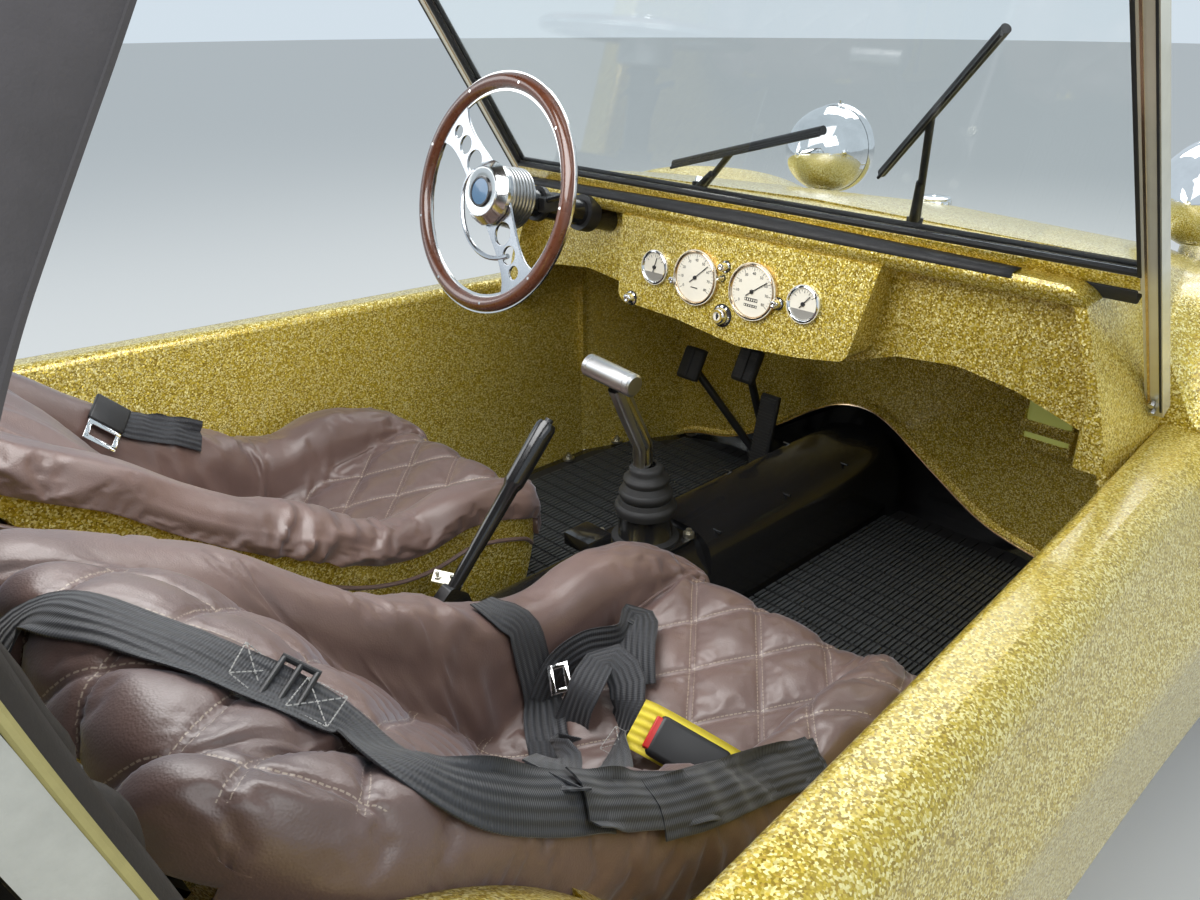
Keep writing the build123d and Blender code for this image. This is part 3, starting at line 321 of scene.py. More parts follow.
# A finish with fine grain in its bump and a little variation in its roughness and shade
def plainFinish(name, colour, roughness, grain=12, strength=0.2, metallic=0, coat=0):
    material = newMaterial(name, {"Metallic": metallic, "Coat Weight": coat})
    point = objectPoint(material)
    cloud = noise(material, point, grain, 4, 0.6)
    fine = noise(material, point, grain * 12, 3)
    darker = tuple(c * 0.82 for c in colour)
    toShader(material, color=ramp(material, cloud, [(0.3, darker), (0.7, colour)]),
             roughness=ramp(material, cloud, [(0.25, roughness * 0.8), (0.75, min(1, roughness * 1.2))]),
             normal=bump(material, fine, strength, 0.0003))
    return material


def metalFinish(name, colour, roughness, scratch=0.15):
    return plainFinish(name, colour, roughness, 14, scratch, metallic=1)


goldBody = goldFlake("goldFlakeLacquer")
brownLeather = leather("brownLeather", (0.15, 0.09, 0.074), (0.108, 0.062, 0.05))
quiltLeather = leather("quiltLeather", (0.15, 0.09, 0.074), (0.108, 0.062, 0.05), stitched=True)
chromePlate = metalFinish("chromePlate", (0.86, 0.87, 0.88), 0.05, 0.02)
polishedAlloy = metalFinish("polishedAlloy", (0.8, 0.8, 0.79), 0.16, 0.08)
satinAlloy = metalFinish("satinAlloy", (0.62, 0.62, 0.62), 0.34, 0.2)
castAlloy = metalFinish("castAlloy", (0.42, 0.42, 0.42), 0.55, 0.6)
zincPlate = metalFinish("zincPlate", (0.62, 0.6, 0.52), 0.38, 0.25)
frameAlloy = plainFinish("frameAlloy", (0.74, 0.7, 0.56), 0.24, 14, 0.06, metallic=0.4, coat=0.6)
spokeAlloy = metalFinish("spokeAlloy", (0.58, 0.6, 0.63), 0.24, 0.08)
brassBezel = metalFinish("brassBezel", (0.72, 0.56, 0.38), 0.18, 0.06)
exhaustSteel = metalFinish("exhaustSteel", (0.45, 0.42, 0.39), 0.42, 0.4)
blackGloss = plainFinish("blackGloss", (0.012, 0.012, 0.013), 0.22, 9, 0.12, coat=0.4)
blackSatin = plainFinish("blackSatin", (0.018, 0.018, 0.019), 0.45, 20, 0.3)
matRubber = plainFinish("matRubber", (0.055, 0.06, 0.064), 0.5, 40, 0.4)
blackRubber = plainFinish("blackRubber", (0.016, 0.016, 0.017), 0.62, 40, 0.5)
tyreRubber = plainFinish("tyreRubber", (0.02, 0.02, 0.021), 0.78, 30, 0.6)
topCloth = plainFinish("topCloth", (0.12, 0.108, 0.112), 0.92, 60, 0.5)
redLens = newMaterial("redLens", {"Base Color": (0.55, 0.01, 0.01, 1), "Roughness": 0.12, "Coat Weight": 1})
clearGlass = newMaterial("clearGlass", {"Base Color": (0.96, 0.98, 0.97, 1), "Roughness": 0,
        "Transmission Weight": 1,
                                        "IOR": 1.45})
woodRim = plainFinish("woodRim", (0.1, 0.03, 0.012), 0.28, 50, 0.1, coat=0.8)
# painted light: the bottle's plastic glows faintly by its emission, though the bottle is no lamp
bottleGlowPlastic = newMaterial("bottleGlowPlastic", {"Base Color": (0.8, 0.86, 0.3, 1), "Roughness": 0.3,
        "Emission Color": (0.55, 0.62, 0.16, 1), "Emission Strength": 0.12})
creamFace = newMaterial("creamFace", {"Base Color": (0.86, 0.82, 0.7, 1), "Roughness": 0.35,
        "Coat Weight": 0.5})
print("materials made")

nodeFinish = {
    goldBody: ["tub_sides", "front_wings", "bonnet", "front_tub", "rear_wings", "rear_body", "dashboard",
               "seat_shell_left", "seat_shell_right"],
    brownLeather: ["seat_pad_left", "seat_pad_right"],
    chromePlate: ["headlamps", "filler_cap", "front_bumper", "rear_bumper"],
    frameAlloy: ["windscreen_frame"],
    polishedAlloy: ["gear_lever", "steering_wheel_spokes", "rim_front_left", "rim_front_right",
                    "rim_rear_left", "rim_rear_right"],
    castAlloy: ["engine"],
    exhaustSteel: ["exhaust"],
    blackGloss: ["floorpan", "soft_top_frame", "handbrake", "steering_column", "fan_shroud"],
    blackSatin: ["knuckle_left", "knuckle_right", "drop_arm", "tie_rods", "front_axle_beam", "transaxle",
                 "pedals", "belt_reels", "wipers"],
    blackRubber: ["floor_mats", "gear_boot"],
    tyreRubber: ["tyre_front_left", "tyre_front_right", "tyre_rear_left", "tyre_rear_right"],
    topCloth: ["soft_top"],
    redLens: ["tail_lamps"],
    clearGlass: ["windscreen_glass"],
    woodRim: ["steering_wheel_rim"],
    bottleGlowPlastic: ["washer_bottle"],
    creamFace: ["gauges"],
}
for finish, names in nodeFinish.items():
    for nodeName in names:
        mesh = nodes[nodeName].data
        mesh.materials.clear()
        mesh.materials.append(finish)
print("frame painted")


# Shared curves and the photograph's rays

# Catmull-Rom through points of any length, sampled evenly along the first three values
def smoothLine(points, count, closed=False):
    pts = [tuple(p) for p in points]
    n = len(pts)
    spans = n if closed else n - 1
    fine = []
    for i in range(spans):
        quad = [pts[(i + k) % n] if closed else pts[min(max(i + k, 0), n - 1)] for k in (-1, 0, 1, 2)]
        for j in range(16):
            t = j / 16
            fine.append(tuple(0.5 * ((2 * b) + (c - a) * t + (2 * a - 5 * b + 4 * c - d) * t * t
                                     + (3 * b - a - 3 * c + d) * t ** 3) for a, b, c, d in zip(*quad)))
    fine.append(pts[0] if closed else pts[-1])
    run = [0]
    for a, b in zip(fine, fine[1:]):
        run.append(run[-1] + dist(a[:3], b[:3]))
    out = []
    k = 0
    steps = count if closed else count - 1
    for i in range(count):
        want = run[-1] * i / steps
        while k < len(run) - 2 and run[k + 1] < want:
            k += 1
        t = (want - run[k]) / max(run[k + 1] - run[k], 1e-12)
        out.append(tuple(a + (b - a) * t for a, b in zip(fine[k], fine[k + 1])))
    return out


def ease(x, low, high):
    t = min(max((x - low) / (high - low), 0), 1)
    return t * t * (3 - 2 * t)


def cameraAxes():
    forward = Vector((cos(view["pitch"]) * cos(view["yaw"]), cos(view["pitch"]) * sin(view["yaw"]),
                      sin(view["pitch"])))
    level = forward.cross((0, 0, 1)).normalized()
    right = Matrix.Rotation(view["roll"], 3, forward) @ level
    return forward, right, right.cross(forward)


# Direction of a pixel of the photograph from the camera's place
def pixelRay(px, py):
    forward, right, upward = cameraAxes()
    reach = view["lens"] / photo["sensor"] * photo["width"]
    aim = forward + right * (px - photo["width"] / 2) / reach + upward * (photo["height"] / 2 - py) / reach
    return aim.normalized()


# One search tree over the meshes of several objects
def treeOf(pieces):
    verts, faces = [], []
    for piece in pieces:
        start = len(verts)
        verts += [v.co.copy() for v in piece.data.vertices]
        faces += [[start + i for i in p.vertices] for p in piece.data.polygons]
    return BVHTree.FromPolygons(verts, faces)


# Where a pixel's ray first meets the tree, and the surface's normal towards the camera
def seenAt(tree, px, py):
    ray = pixelRay(px, py)
    place, normal, _, _ = tree.ray_cast(Vector(view["place"]), ray)
    if place is None:
        return None
    return place, normal if normal.dot(ray) < 0 else -normal


# Seats

seatLine = {
    # seat x, z, then rim x, z
    "stations": [(-0.074, 0.4, -0.074, 0.4), (-0.08, 0.438, -0.078, 0.436), (-0.108, 0.453, -0.1, 0.46),
                 (-0.17, 0.437, -0.165, 0.484), (-0.25, 0.416, -0.24, 0.497), (-0.34, 0.392, -0.318, 0.486),
                 (-0.415, 0.372, -0.4, 0.506), (-0.455, 0.382, -0.47, 0.546), (-0.5, 0.432, -0.54, 0.584),
                 (-0.563, 0.509, -0.61, 0.632), (-0.625, 0.592, -0.675, 0.685), (-0.684, 0.676, -0.735, 0.72),
                 (-0.745, 0.737, -0.79, 0.752), (-0.8, 0.772, -0.835, 0.777), (-0.842, 0.779, -0.856, 0.773),
                 (-0.862, 0.752, -0.867, 0.75)],
    # y, lift towards the rim, drop past the crest
    "half": [(0, 0, 0), (0.05, 0, 0), (0.1, 0.01, 0), (0.124, 0.05, 0), (0.136, 0.2, 0), (0.142, 0.44, 0),
             (0.149, 0.7, -0.004), (0.16, 0.9, -0.01), (0.175, 1, -0.014), (0.192, 1, -0.015),
             (0.208, 1, -0.014), (0.222, 1, -0.008), (0.2315, 1, 0.005), (0.2345, 1, 0.024),
             (0.234, 1, 0.044), (0.232, 1, 0.06)],
    "rows": 128, "cols": 80, "seamY": 0.138, "pad": 0.009, "puff": 0.007, "innerSkirt": 0.45,
    # where the skirt and the bolster begin across, and the crown of the padding
    "flank": 0.19, "flat": 0.1, "crown": 0.006,
}


# The bucket's half width where its plan corners are rounded
def seatHalfWidth(x):
    if x > -0.15:
        return 0.142 + sqrt(max(0.0064 - (x + 0.15) ** 2, 0))
    if x < -0.75:
        return 0.072 + sqrt(max(0.0225 - (x + 0.75) ** 2, 0))
    return 0.222


# Distance from the nearest diamond line, and the puff between the lines from 0 to 1
def diamondGap(s, y):
    u = s / quilt["x"] + y / quilt["y"]
    v = s / quilt["x"] - y / quilt["y"]
    wide = 2 / hypot(1 / quilt["x"], 1 / quilt["y"])
    near = min(abs((w + 1) / 2 - round((w + 1) / 2)) * wide for w in (u, v))
    puff = abs(sin(pi / 2 * (u - 1)) * sin(pi / 2 * (v - 1))) ** 0.5
    return near, puff


# The seat's and the rim's point of one row, and the way down off the rim
def seatStation(rows, i):
    row, before, after = rows[i], rows[max(i - 1, 0)], rows[min(i + 1, len(rows) - 1)]
    way = Vector((after[2] - before[2], 0, after[3] - before[3])).normalized()
    sink = Vector((way.z, 0, -way.x))
    if sink.z > 0:
        sink = -sink
    if i < 8:
        sink = Vector((-1, 0, 0)).lerp(Vector((0, 0, -1)), ease(i, 0, 8)).normalized()
    return Vector((row[0], 0, row[1])), Vector((row[2], 0, row[3])), sink


# The place across where the bucket's plan at x is wider or narrower
def widened(x, y):
    flat = seatLine["flat"]
    if abs(y) <= flat:
        return y
    return copysign(flat + (abs(y) - flat) * (seatHalfWidth(x) - flat) / 0.122, y)


# Rows of (place, s, y, quilted) over the bucket; phase shifts the diamonds across
def seatGrid(phase, quiltOf, foldOf, seed, inner):
    spec = seatLine
    rows = smoothLine(spec["stations"], spec["rows"])
    half = smoothLine([(a, b * 0.02, c, b) for a, b, c in spec["half"]], spec["cols"] // 2 + 1)
    across = [(-y, lift, drop) for y, _, drop, lift in reversed(half)]
    across += [(y, lift, drop) for y, _, drop, lift in half[1:]]
    grid = []
    s = 0
    for i, row in enumerate(rows):
        if i:
            s += dist(row[:2], rows[i - 1][:2])
        seat, rim, sink = seatStation(rows, i)
        line = []
        run = 0
        last = None
        for y, lift, drop in across:
            if y * inner > spec["flank"] and drop > 0:
                drop *= spec["innerSkirt"]
            flat = seat.lerp(rim, lift) + sink * drop
            crown = spec["crown"] * (1 - min(abs(y) / 0.146, 1) ** 2)
            place = Vector((flat.x, widened(flat.x, y), flat.z)) - sink * crown
            if last is not None:
                run += (place - last).length
            last = place
            line.append([place, s, run, y])
        middle = line[len(line) // 2][2]
        for item in line:
            item[2] = item[2] - middle
        grid.append(line)
    rng = random.Random(seed)
    shift = Vector((rng.uniform(0, 9), rng.uniform(0, 9), rng.uniform(0, 9)))
    out = []
    for i, line in enumerate(grid):
        made = []
        for j, (place, s, run, y) in enumerate(line):
            a = grid[min(i + 1, len(grid) - 1)][j][0] - grid[max(i - 1, 0)][j][0]
            b = line[min(j + 1, len(line) - 1)][0] - line[max(j - 1, 0)][0]
            normal = a.cross(b).normalized()
            flank = abs(y) >= spec["flank"]
            if (normal.y * y if flank else normal.dot(Vector((0.3, 0, 1)))) < 0:
                normal = -normal
            quilted = quiltOf(s, y)
            near, puff = diamondGap(s, run - phase)
            lift = spec["puff"] * puff * quilted + foldOf(s, y, place + shift)
            made.append((place + normal * lift, s, run - phase, quilted, near, normal))
        out.append(made)
    return out


def seatCover(name, y0, phase, quiltOf, foldOf, seed, node):
    grid = seatGrid(phase, quiltOf, foldOf, seed, -copysign(1, y0))
    rows, cols = len(grid), len(grid[0])
    bm = bmesh.new()
    amount = bm.verts.layers.float.new("quilted")
    pin = bm.verts.layers.deform.verify()
    top, low = [], []
    for i, line in enumerate(grid):
        top.append([bm.verts.new(p + Vector((0, y0, 0))) for p, *_ in line])
        low.append([bm.verts.new(p - n * seatLine["pad"] + Vector((0, y0, 0))) for p, _, _, _, _, n in line])
        for v, (_, _, _, quilted, near, _), w in zip(top[-1], line, low[-1]):
            v[amount] = quilted
            edge = i in (0, rows - 1) or v in (top[-1][0], top[-1][-1])
            v[pin][0] = 1 if edge or (quilted > 0.5 and near < 0.0045) else 0
            w[pin][0] = 1
    for i in range(rows - 1):
        for j in range(cols - 1):
            bm.faces.new((top[i][j], top[i][j + 1], top[i + 1][j + 1], top[i + 1][j]))
            bm.faces.new((low[i][j], low[i + 1][j], low[i + 1][j + 1], low[i][j + 1]))
    for i in range(rows - 1):
        for j in (0, cols - 1):
            bm.faces.new((top[i][j], top[i + 1][j], low[i + 1][j], low[i][j]))
    for j in range(cols - 1):
        for i in (0, rows - 1):
            bm.faces.new((top[i][j], low[i][j], low[i][j + 1], top[i][j + 1]))
    uv = bm.loops.layers.uv.new("quilt")
    where = {}
    for verts in (top, low):
        for line, source in zip(verts, grid):
            for v, item in zip(line, source):
                where[v] = (item[1], item[2])
    for face in bm.faces:
        for loop in face.loops:
            loop[uv].uv = where[loop.vert]
    piece = addPiece(name, bm, quiltLeather, smooth=60)
    piece.vertex_groups.new(name="seams")
    swell(piece, 0.006)
    refine(piece)
    grooves(piece, y0)
    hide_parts(node)
    return piece


# Presses the cover out between its seams with a short cloth run and caps how far it moves
def swell(piece, most):
    before = [v.co.copy() for v in piece.data.vertices]
    cloth = piece.modifiers.new("swell", "CLOTH")
    setup = cloth.settings
    setup.quality = 4
    setup.mass = 0.15
    setup.tension_stiffness = setup.compression_stiffness = 12
    setup.shear_stiffness = 4
    setup.bending_stiffness = 0.12
    setup.use_pressure = True
    setup.uniform_pressure_force = 4
    setup.shrink_min = -0.018
    setup.vertex_group_mass = "seams"
    setup.effector_weights.gravity = 0
    cloth.collision_settings.use_collision = False
    cloth.point_cache.frame_end = 16
    scene = bpy.context.scene
    begun = time.time()
    for step in range(1, 13):
        scene.frame_set(step)
    print(f"cloth run {time.time() - begun:.1f} s")
    moved = piece.evaluated_get(bpy.context.evaluated_depsgraph_get()).data
    after = [v.co.copy() for v in moved.vertices]
    piece.modifiers.remove(cloth)
    scene.frame_set(1)
    for v, a, b in zip(piece.data.vertices, before, after):
        way = b - a
        if way.length > most:
            way *= most / way.length
        v.co = a + way


def refine(piece):
    bm = bmesh.new()
    bm.from_mesh(piece.data)
    bmesh.ops.subdivide_edges(bm, edges=bm.edges, cuts=1, use_grid_fill=True, smooth=0.35)
    bm.to_mesh(piece.data)
    bm.free()


# Sinks the stitched lines and the seams beside the bolsters
def grooves(piece, y0):
    mesh = piece.data
    uvs = mesh.uv_layers["quilt"].data
    place = {}
    for loop in mesh.loops:
        place[loop.vertex_index] = uvs[loop.index].uv
    amount = [item.value for item in mesh.attributes["quilted"].data]
    normals = [v.normal.copy() for v in mesh.vertices]
    for v in mesh.vertices:
        s, run = place[v.index]
        near, _ = diamondGap(s, run)
        sink = 0.0032 * exp(-(near / 0.0026) ** 2) * amount[v.index]
        seam = abs(abs(v.co.y - y0) - seatLine["seamY"])
        sink += 0.0035 * exp(-(seam / 0.003) ** 2)
        v.co -= normals[v.index] * sink


# Gathers near the front corners and long shallow wrinkles elsewhere
def creases(s, y, place, long=1):
    corner = ease(abs(y), 0.09, 0.16) * (1 - ease(s, 0.1, 0.24))
    gather = 1 - abs(noiseAt(Vector((place.x * 14, place.y * 60, place.z * 22)))) * 2.2
    bend = exp(-((s - 0.44) / 0.07) ** 2)
    fold = 1 - abs(noiseAt(Vector((place.x * 26, place.y * 9, place.z * 26)))) * 2.4
    return 0.0045 * corner * max(gather, 0) + long * 0.006 * bend * max(fold, 0)


# The passenger's cover is stitched on the cushion, the back and the outer wing, not on the inner roll
def nearQuilt(s, y):
    inner = 1 - ease(y, 0.126, 0.136)
    edge = ease(y, -0.226, -0.208)
    return inner * edge * ease(s, 0.035, 0.055) * (1 - ease(s, 1.2, 1.24))


# The driver's cover is stitched only on the front of the cushion
def farQuilt(s, y):
    side = 1 - ease(abs(y), 0.126, 0.136)
    return side * ease(s, 0.035, 0.055) * (1 - ease(s, 0.36, 0.4))


def farFolds(s, y, place):
    back = ease(s, 0.38, 0.6) * (1 - ease(abs(y), 0.14, 0.17))
    drape = 1 - abs(noiseAt(Vector((place.x * 5, place.y * 16, place.z * 5)))) * 2
    return creases(s, y, place, 1.6) + 0.011 * back * max(drape, 0)


covers = [seatCover("seat_cover_right", -car["seatY"], 0.02, nearQuilt, creases, 3, "seat_pad_right"),
          seatCover("seat_cover_left", car["seatY"], -0.01, farQuilt, farFolds, 5, "seat_pad_left")]
print("seat covers made")


# Points along the cover at one place across it, for piping and seams
def seatEdge(y0, y, lift, rows, drop):
    line = smoothLine(seatLine["stations"], seatLine["rows"])
    sides = sorted(seatLine["half"])
    out = []
    for i in range(rows[0], rows[1] + 1, 4):
        seat, rim, sink = seatStation(line, i)
        share = 0
        fall = 0
        for (ya, la, da), (yb, lb, db) in zip(sides, sides[1:]):
            if ya <= abs(y) <= yb and yb > ya:
                t = (abs(y) - ya) / (yb - ya)
                share, fall = la + (lb - la) * t, da + (db - da) * t
        if drop is not None:
            share, fall = 1, drop
        flat = seat.lerp(rim, share) + sink * (fall - lift)
        out.append((flat.x, y0 + widened(flat.x, y), flat.z))
    return out


def seatPiping():
    # columns: name, place across, lift, first and last row, drop past the crest, radius
    table = [("piping_inner", 0.23, 0, (4, 124), 0.06, 0.0032),
             ("piping_outer", -0.23, 0, (4, 124), 0.06, 0.0032),
             ("seam_inner", seatLine["seamY"], -0.001, (8, 120), None, 0.0022),
             ("seam_outer", -seatLine["seamY"], -0.001, (8, 120), None, 0.0022)]
    for side, y0 in (("right", -car["seatY"]), ("left", car["seatY"])):
        for name, y, lift, rows, drop, r in table:
            line = seatEdge(y0, y if side == "right" else -y, lift, rows, drop)
            tubeAlong(f"seat_{name}_{side}", line, r, brownLeather)


seatPiping()


# Seat belts

webbing = {"width": 0.048, "thick": 0.0014}


# Flat strap along points with normals (six values each), laid on the tree where it is close under it
def ribbon(name, path, material, tree=None, width=webbing["width"], lift=0.002, samples=60, ribs=6,
           even=0):
    line = smoothLine(path, samples)
    bm = bmesh.new()
    uv = bm.loops.layers.uv.new("web")
    rows = []
    run = 0
    for i, row in enumerate(line):
        here = Vector(row[:3])
        way = Vector(line[min(i + 1, samples - 1)][:3]) - Vector(line[max(i - 1, 0)][:3])
        normal = Vector(row[3:6]).normalized()
        side = normal.cross(way).normalized()
        normal = way.cross(side).normalized()
        if i:
            run += (here - Vector(line[i - 1][:3])).length
        top, low = [], []
        for k in range(ribs + 1):
            off = (k / ribs - 0.5) * width
            place = here + side * off
            if tree:
                hit, _, _, _ = tree.ray_cast(place + normal * 0.03, -normal, 0.055)
                if hit is not None:
                    place = hit.lerp(place, 0.25) if (hit - place).length < 0.012 else place
                    if (place - hit).dot(normal) < 0:
                        place = hit
            top.append((place + normal * (lift + webbing["thick"]), k / ribs, run))
            low.append((place + normal * lift, k / ribs, run))
        rows.append((top, low))
    for _ in range(even):
        for k in range(ribs + 1):
            tops = [row[0][k][0] for row in rows]
            for i in range(1, samples - 1):
                middle = tops[i] * 0.5 + (tops[i - 1] + tops[i + 1]) * 0.25
                shift = (middle - tops[i]) * 0.9
                for part in rows[i]:
                    part[k] = (part[k][0] + shift, *part[k][1:])
    made = [([bm.verts.new(p) for p, _, _ in top], [bm.verts.new(p) for p, _, _ in low]) for top, low in rows]
    label = {}
    for (tops, lows), (top, low) in zip(made, rows):
        for v, item in zip(tops + lows, top + low):
            label[v] = item[1:]
    for (ta, la), (tb, lb) in zip(made, made[1:]):
        for k in range(ribs):
            bm.faces.new((ta[k], ta[k + 1], tb[k + 1], tb[k]))
            bm.faces.new((la[k], lb[k], lb[k + 1], la[k + 1]))
        bm.faces.new((ta[0], tb[0], lb[0], la[0]))
        bm.faces.new((ta[ribs], la[ribs], lb[ribs], tb[ribs]))
    for tops, lows in (made[0], made[-1]):
        for k in range(ribs):
            bm.faces.new((tops[k], lows[k], lows[k + 1], tops[k + 1]))
    for face in bm.faces:
        for loop in face.loops:
            loop[uv].uv = label[loop.vert]
    return addPiece(name, bm, material, smooth=50)


# Points and normals where the photograph's pixels meet the tree, the normals evened out
def seenPath(tree, pixels):
    found = [seenAt(tree, px, py) for px, py in pixels]
    found = [f for f in found if f]
    out = []
    for i, (place, _) in enumerate(found):
        near = [found[j][1] for j in range(max(i - 1, 0), min(i + 2, len(found)))]
        out.append((*place, *sum(near, Vector()).normalized()))
    return out


# Matrix on the surface at a pixel: X along the slope turned by an angle, Z off the surface
def onPatch(tree, px, py, turn, lift):
    place, normal = seenAt(tree, px, py)
    return placeOn(place + normal * lift, normal, (1, 0, 0)) @ Matrix.Rotation(turn, 4, "Z")


# Woven strap: lengthwise ribs from the strap's own map, and a fine cross weave. The rib crests are painted
# lighter and the grooves darker: a painted sheen on the crests and painted shade in the grooves
def webbingFinish(name, colour, light):
    material = newMaterial(name, {"Roughness": 0.58, "Specular IOR Level": 0.5, "Sheen Weight": 0.2})
    split = addNode(material, "ShaderNodeSeparateXYZ",
                    {"Vector": addNode(material, "ShaderNodeUVMap", uv_map="web").outputs["UV"]})
    rib = calc(material, "SINE", calc(material, "MULTIPLY", split.outputs["X"], 2 * pi * 6))
    weave = calc(material, "SINE", calc(material, "MULTIPLY", split.outputs["Y"], 2 * pi / 0.0022))
    height = calc(material, "MULTIPLY_ADD", weave, 0.22, rib)
    # painted sheen and shade: the colour follows the rib height, from the first colour in the grooves to the
    # lighter one on the crests
    shade = ramp(material, calc(material, "MULTIPLY_ADD", rib, 0.35, 0.5), [(0.1, colour), (0.95, light)])
    toShader(material, color=shade, normal=bump(material, height, 0.6, 0.0008))
    return material


# the second, lighter colour of each strap is its painted sheen on the rib crests
blackWebbing = webbingFinish("blackWebbing", (0.006, 0.006, 0.008), (0.02, 0.022, 0.028))
yellowWebbing = webbingFinish("yellowWebbing", (0.52, 0.4, 0.01), (0.8, 0.66, 0.03))
whiteThread = plainFinish("whiteThread", (0.45, 0.44, 0.42), 0.8)
redButton = newMaterial("redButton", {"Base Color": (0.55, 0.015, 0.012, 1), "Roughness": 0.35})


# Sewn box with a cross in it, as short threads
def crossBox(name, tree, px, py, turn, lift, size=0.036):
    matrix = onPatch(tree, px, py, turn, lift)
    bm = bmesh.new()
    half = size / 2
    corners = [(-half, -half * 0.8), (half, -half * 0.8), (half, half * 0.8), (-half, half * 0.8)]
    runs = list(zip(corners, corners[1:] + corners[:1])) + [(corners[0], corners[2]),
            (corners[1], corners[3])]
    stitches = 9
    for (ax, ay), (bx, by) in runs:
        for k in range(stitches):
            ends = [matrix @ Vector((ax + (bx - ax) * t, ay + (by - ay) * t, 0))
                    for t in ((k + 0.1) / stitches, (k + 0.8) / stitches)]
            addRod(bm, *ends, 0.0005, 5)
    addPiece(name, bm, whiteThread)


# Bent metal tongue from flat bars (x0, x1, y0, y1)
def strapPlate(name, matrix, bars, high):
    bm = bmesh.new()
    for x0, x1, y0, y1 in bars:
        localBox(bm, matrix, (x0, y0, -0.001), (x1, y1, high), 0.0005)
    addPiece(name, bm, chromePlate)


def beltPart(name, matrix, low, high, bevel, material=blackSatin):
    bm = bmesh.new()
    localBox(bm, matrix, low, high, bevel)
    addPiece(name, bm, material, smooth=50)


# Straps on the passenger's seat: pixels of the photograph along the middle, lift, evening passes
seatStraps = {
    "shoulder": ([(34, 612), (80, 618), (125, 630), (175, 650), (225, 672), (268, 695), (310, 712),
                  (355, 735), (395, 762), (440, 785), (495, 797), (550, 802), (600, 803)], 0.005, 8),
    "inner": ([(480, 588), (500, 598), (517, 622), (527, 650), (534, 678), (540, 705), (546, 735), (552, 765),
               (556, 800)], 0.005, 1),
    "lap": ([(575, 803), (640, 803), (690, 800), (730, 788), (770, 776), (820, 768)], 0.009, 8),
    "lap_tail": ([(650, 812), (700, 800), (760, 778), (812, 764)], 0.01, 8),
}
# Loops that stand off the seat: pixels, and height over the seat
looseLoops = {
    "loop_back": [(540, 700, 0.004), (552, 668, 0.012), (572, 645, 0.028), (600, 632, 0.04),
                  (628, 636, 0.036), (644, 660, 0.02), (640, 690, 0.006)],
    "loop_front": [(548, 782, 0.003), (566, 750, 0.01), (590, 712, 0.034), (612, 688, 0.046),
                   (632, 684, 0.04), (636, 712, 0.02), (622, 752, 0.008), (604, 782, 0.002)],
}


def passengerBelts(near):
    for name, (pixels, lift, even) in seatStraps.items():
        if name == "inner":
            (x0, y0), (x1, y1) = pixels[:2]
            edge = next((py for py in range(560, 640, 3) if seenAt(near, x0, py)), y0)
            pixels = [(x0, edge + 4), (x1, max(edge + 14, y1))] + pixels[2:]
        path = seenPath(near, pixels)
        if name == "shoulder":  # over the seat's top edge and down behind it
            start = Vector(path[0][:3])
            path = [(*(start + Vector((-0.038, -0.004, -0.06))), -1, 0, 0.1),
                    (*(start + Vector((-0.034, -0.003, -0.022))), -0.9, 0, 0.4)] + path
        ribbon(f"belt_{name}", path, blackWebbing, near, lift=lift, samples=70, even=even)
    for name, pixels in looseLoops.items():
        path = []
        for px, py, lift in pixels:
            place, normal = seenAt(near, px, py)
            path.append((*(place + normal * lift), *normal))
        ribbon(f"belt_{name}", path, blackWebbing, width=webbing["width"] * 0.92)


def buckleAndFittings(near):
    lens, (_, sideways, upward) = Vector(view["place"]), cameraAxes()
    place, normal = seenAt(near, 683, 756)
    normal = normal.lerp((lens - place).normalized(), 0.75).normalized()
    toward = sideways * 62 - upward * 38
    toward -= normal * toward.dot(normal)
    matrix = placeOn(place + normal * 0.03, normal, toward)
    bend = ((-0.062, -0.024), (-0.045, -0.013), (0, -0.009), (0.045, -0.011), (0.07, -0.022))
    path = [(*(matrix @ Vector((x, 0.004, z))), *normal) for x, z in bend]
    ribbon("belt_yellow", path, yellowWebbing, None, 0.056, 0, 30)
    beltPart("belt_buckle", matrix, (-0.04, -0.0225, -0.006), (0.043, 0.0225, 0.012), 0.006)
    beltPart("belt_button", matrix, (-0.0445, -0.018, -0.003), (-0.034, 0.018, 0.0105), 0.002, redButton)
    # adjuster on the shoulder strap, the tongue and the stitched boxes
    place, normal = seenAt(near, 280, 700)
    ahead = seenAt(near, 300, 708)[0] - seenAt(near, 262, 690)[0]
    matrix = placeOn(place + normal * 0.006, normal, ahead)
    bm = bmesh.new()
    for x in (-0.012, 0, 0.012):
        addRod(bm, matrix @ Vector((x, -0.028, 0)), matrix @ Vector((x, 0.028, 0)), 0.0022, 10)
    for y in (-0.028, 0.028):
        addRod(bm, matrix @ Vector((-0.014, y, 0)), matrix @ Vector((0.014, y, 0)), 0.0024, 10)
    addPiece("belt_adjuster", bm, blackSatin)
    place, normal = seenAt(near, 572, 690)
    strapPlate("belt_tongue", placeOn(place + normal * 0.044, normal, (0.7, 0.7, 0)),
               ((-0.018, 0.018, -0.013, -0.006), (-0.018, 0.018, 0.006, 0.013),
                (-0.018, -0.012, -0.013, 0.013), (0.012, 0.018, -0.013, 0.013)), 0.0012)
    for i, (px, py, turn, lift) in enumerate(((245, 680, 0.6, 0.0095), (312, 713, 0.6, 0.0095),
            (618, 750, 0.3, 0.012))):
        crossBox(f"belt_cross_{i}", near, px, py, turn, lift)


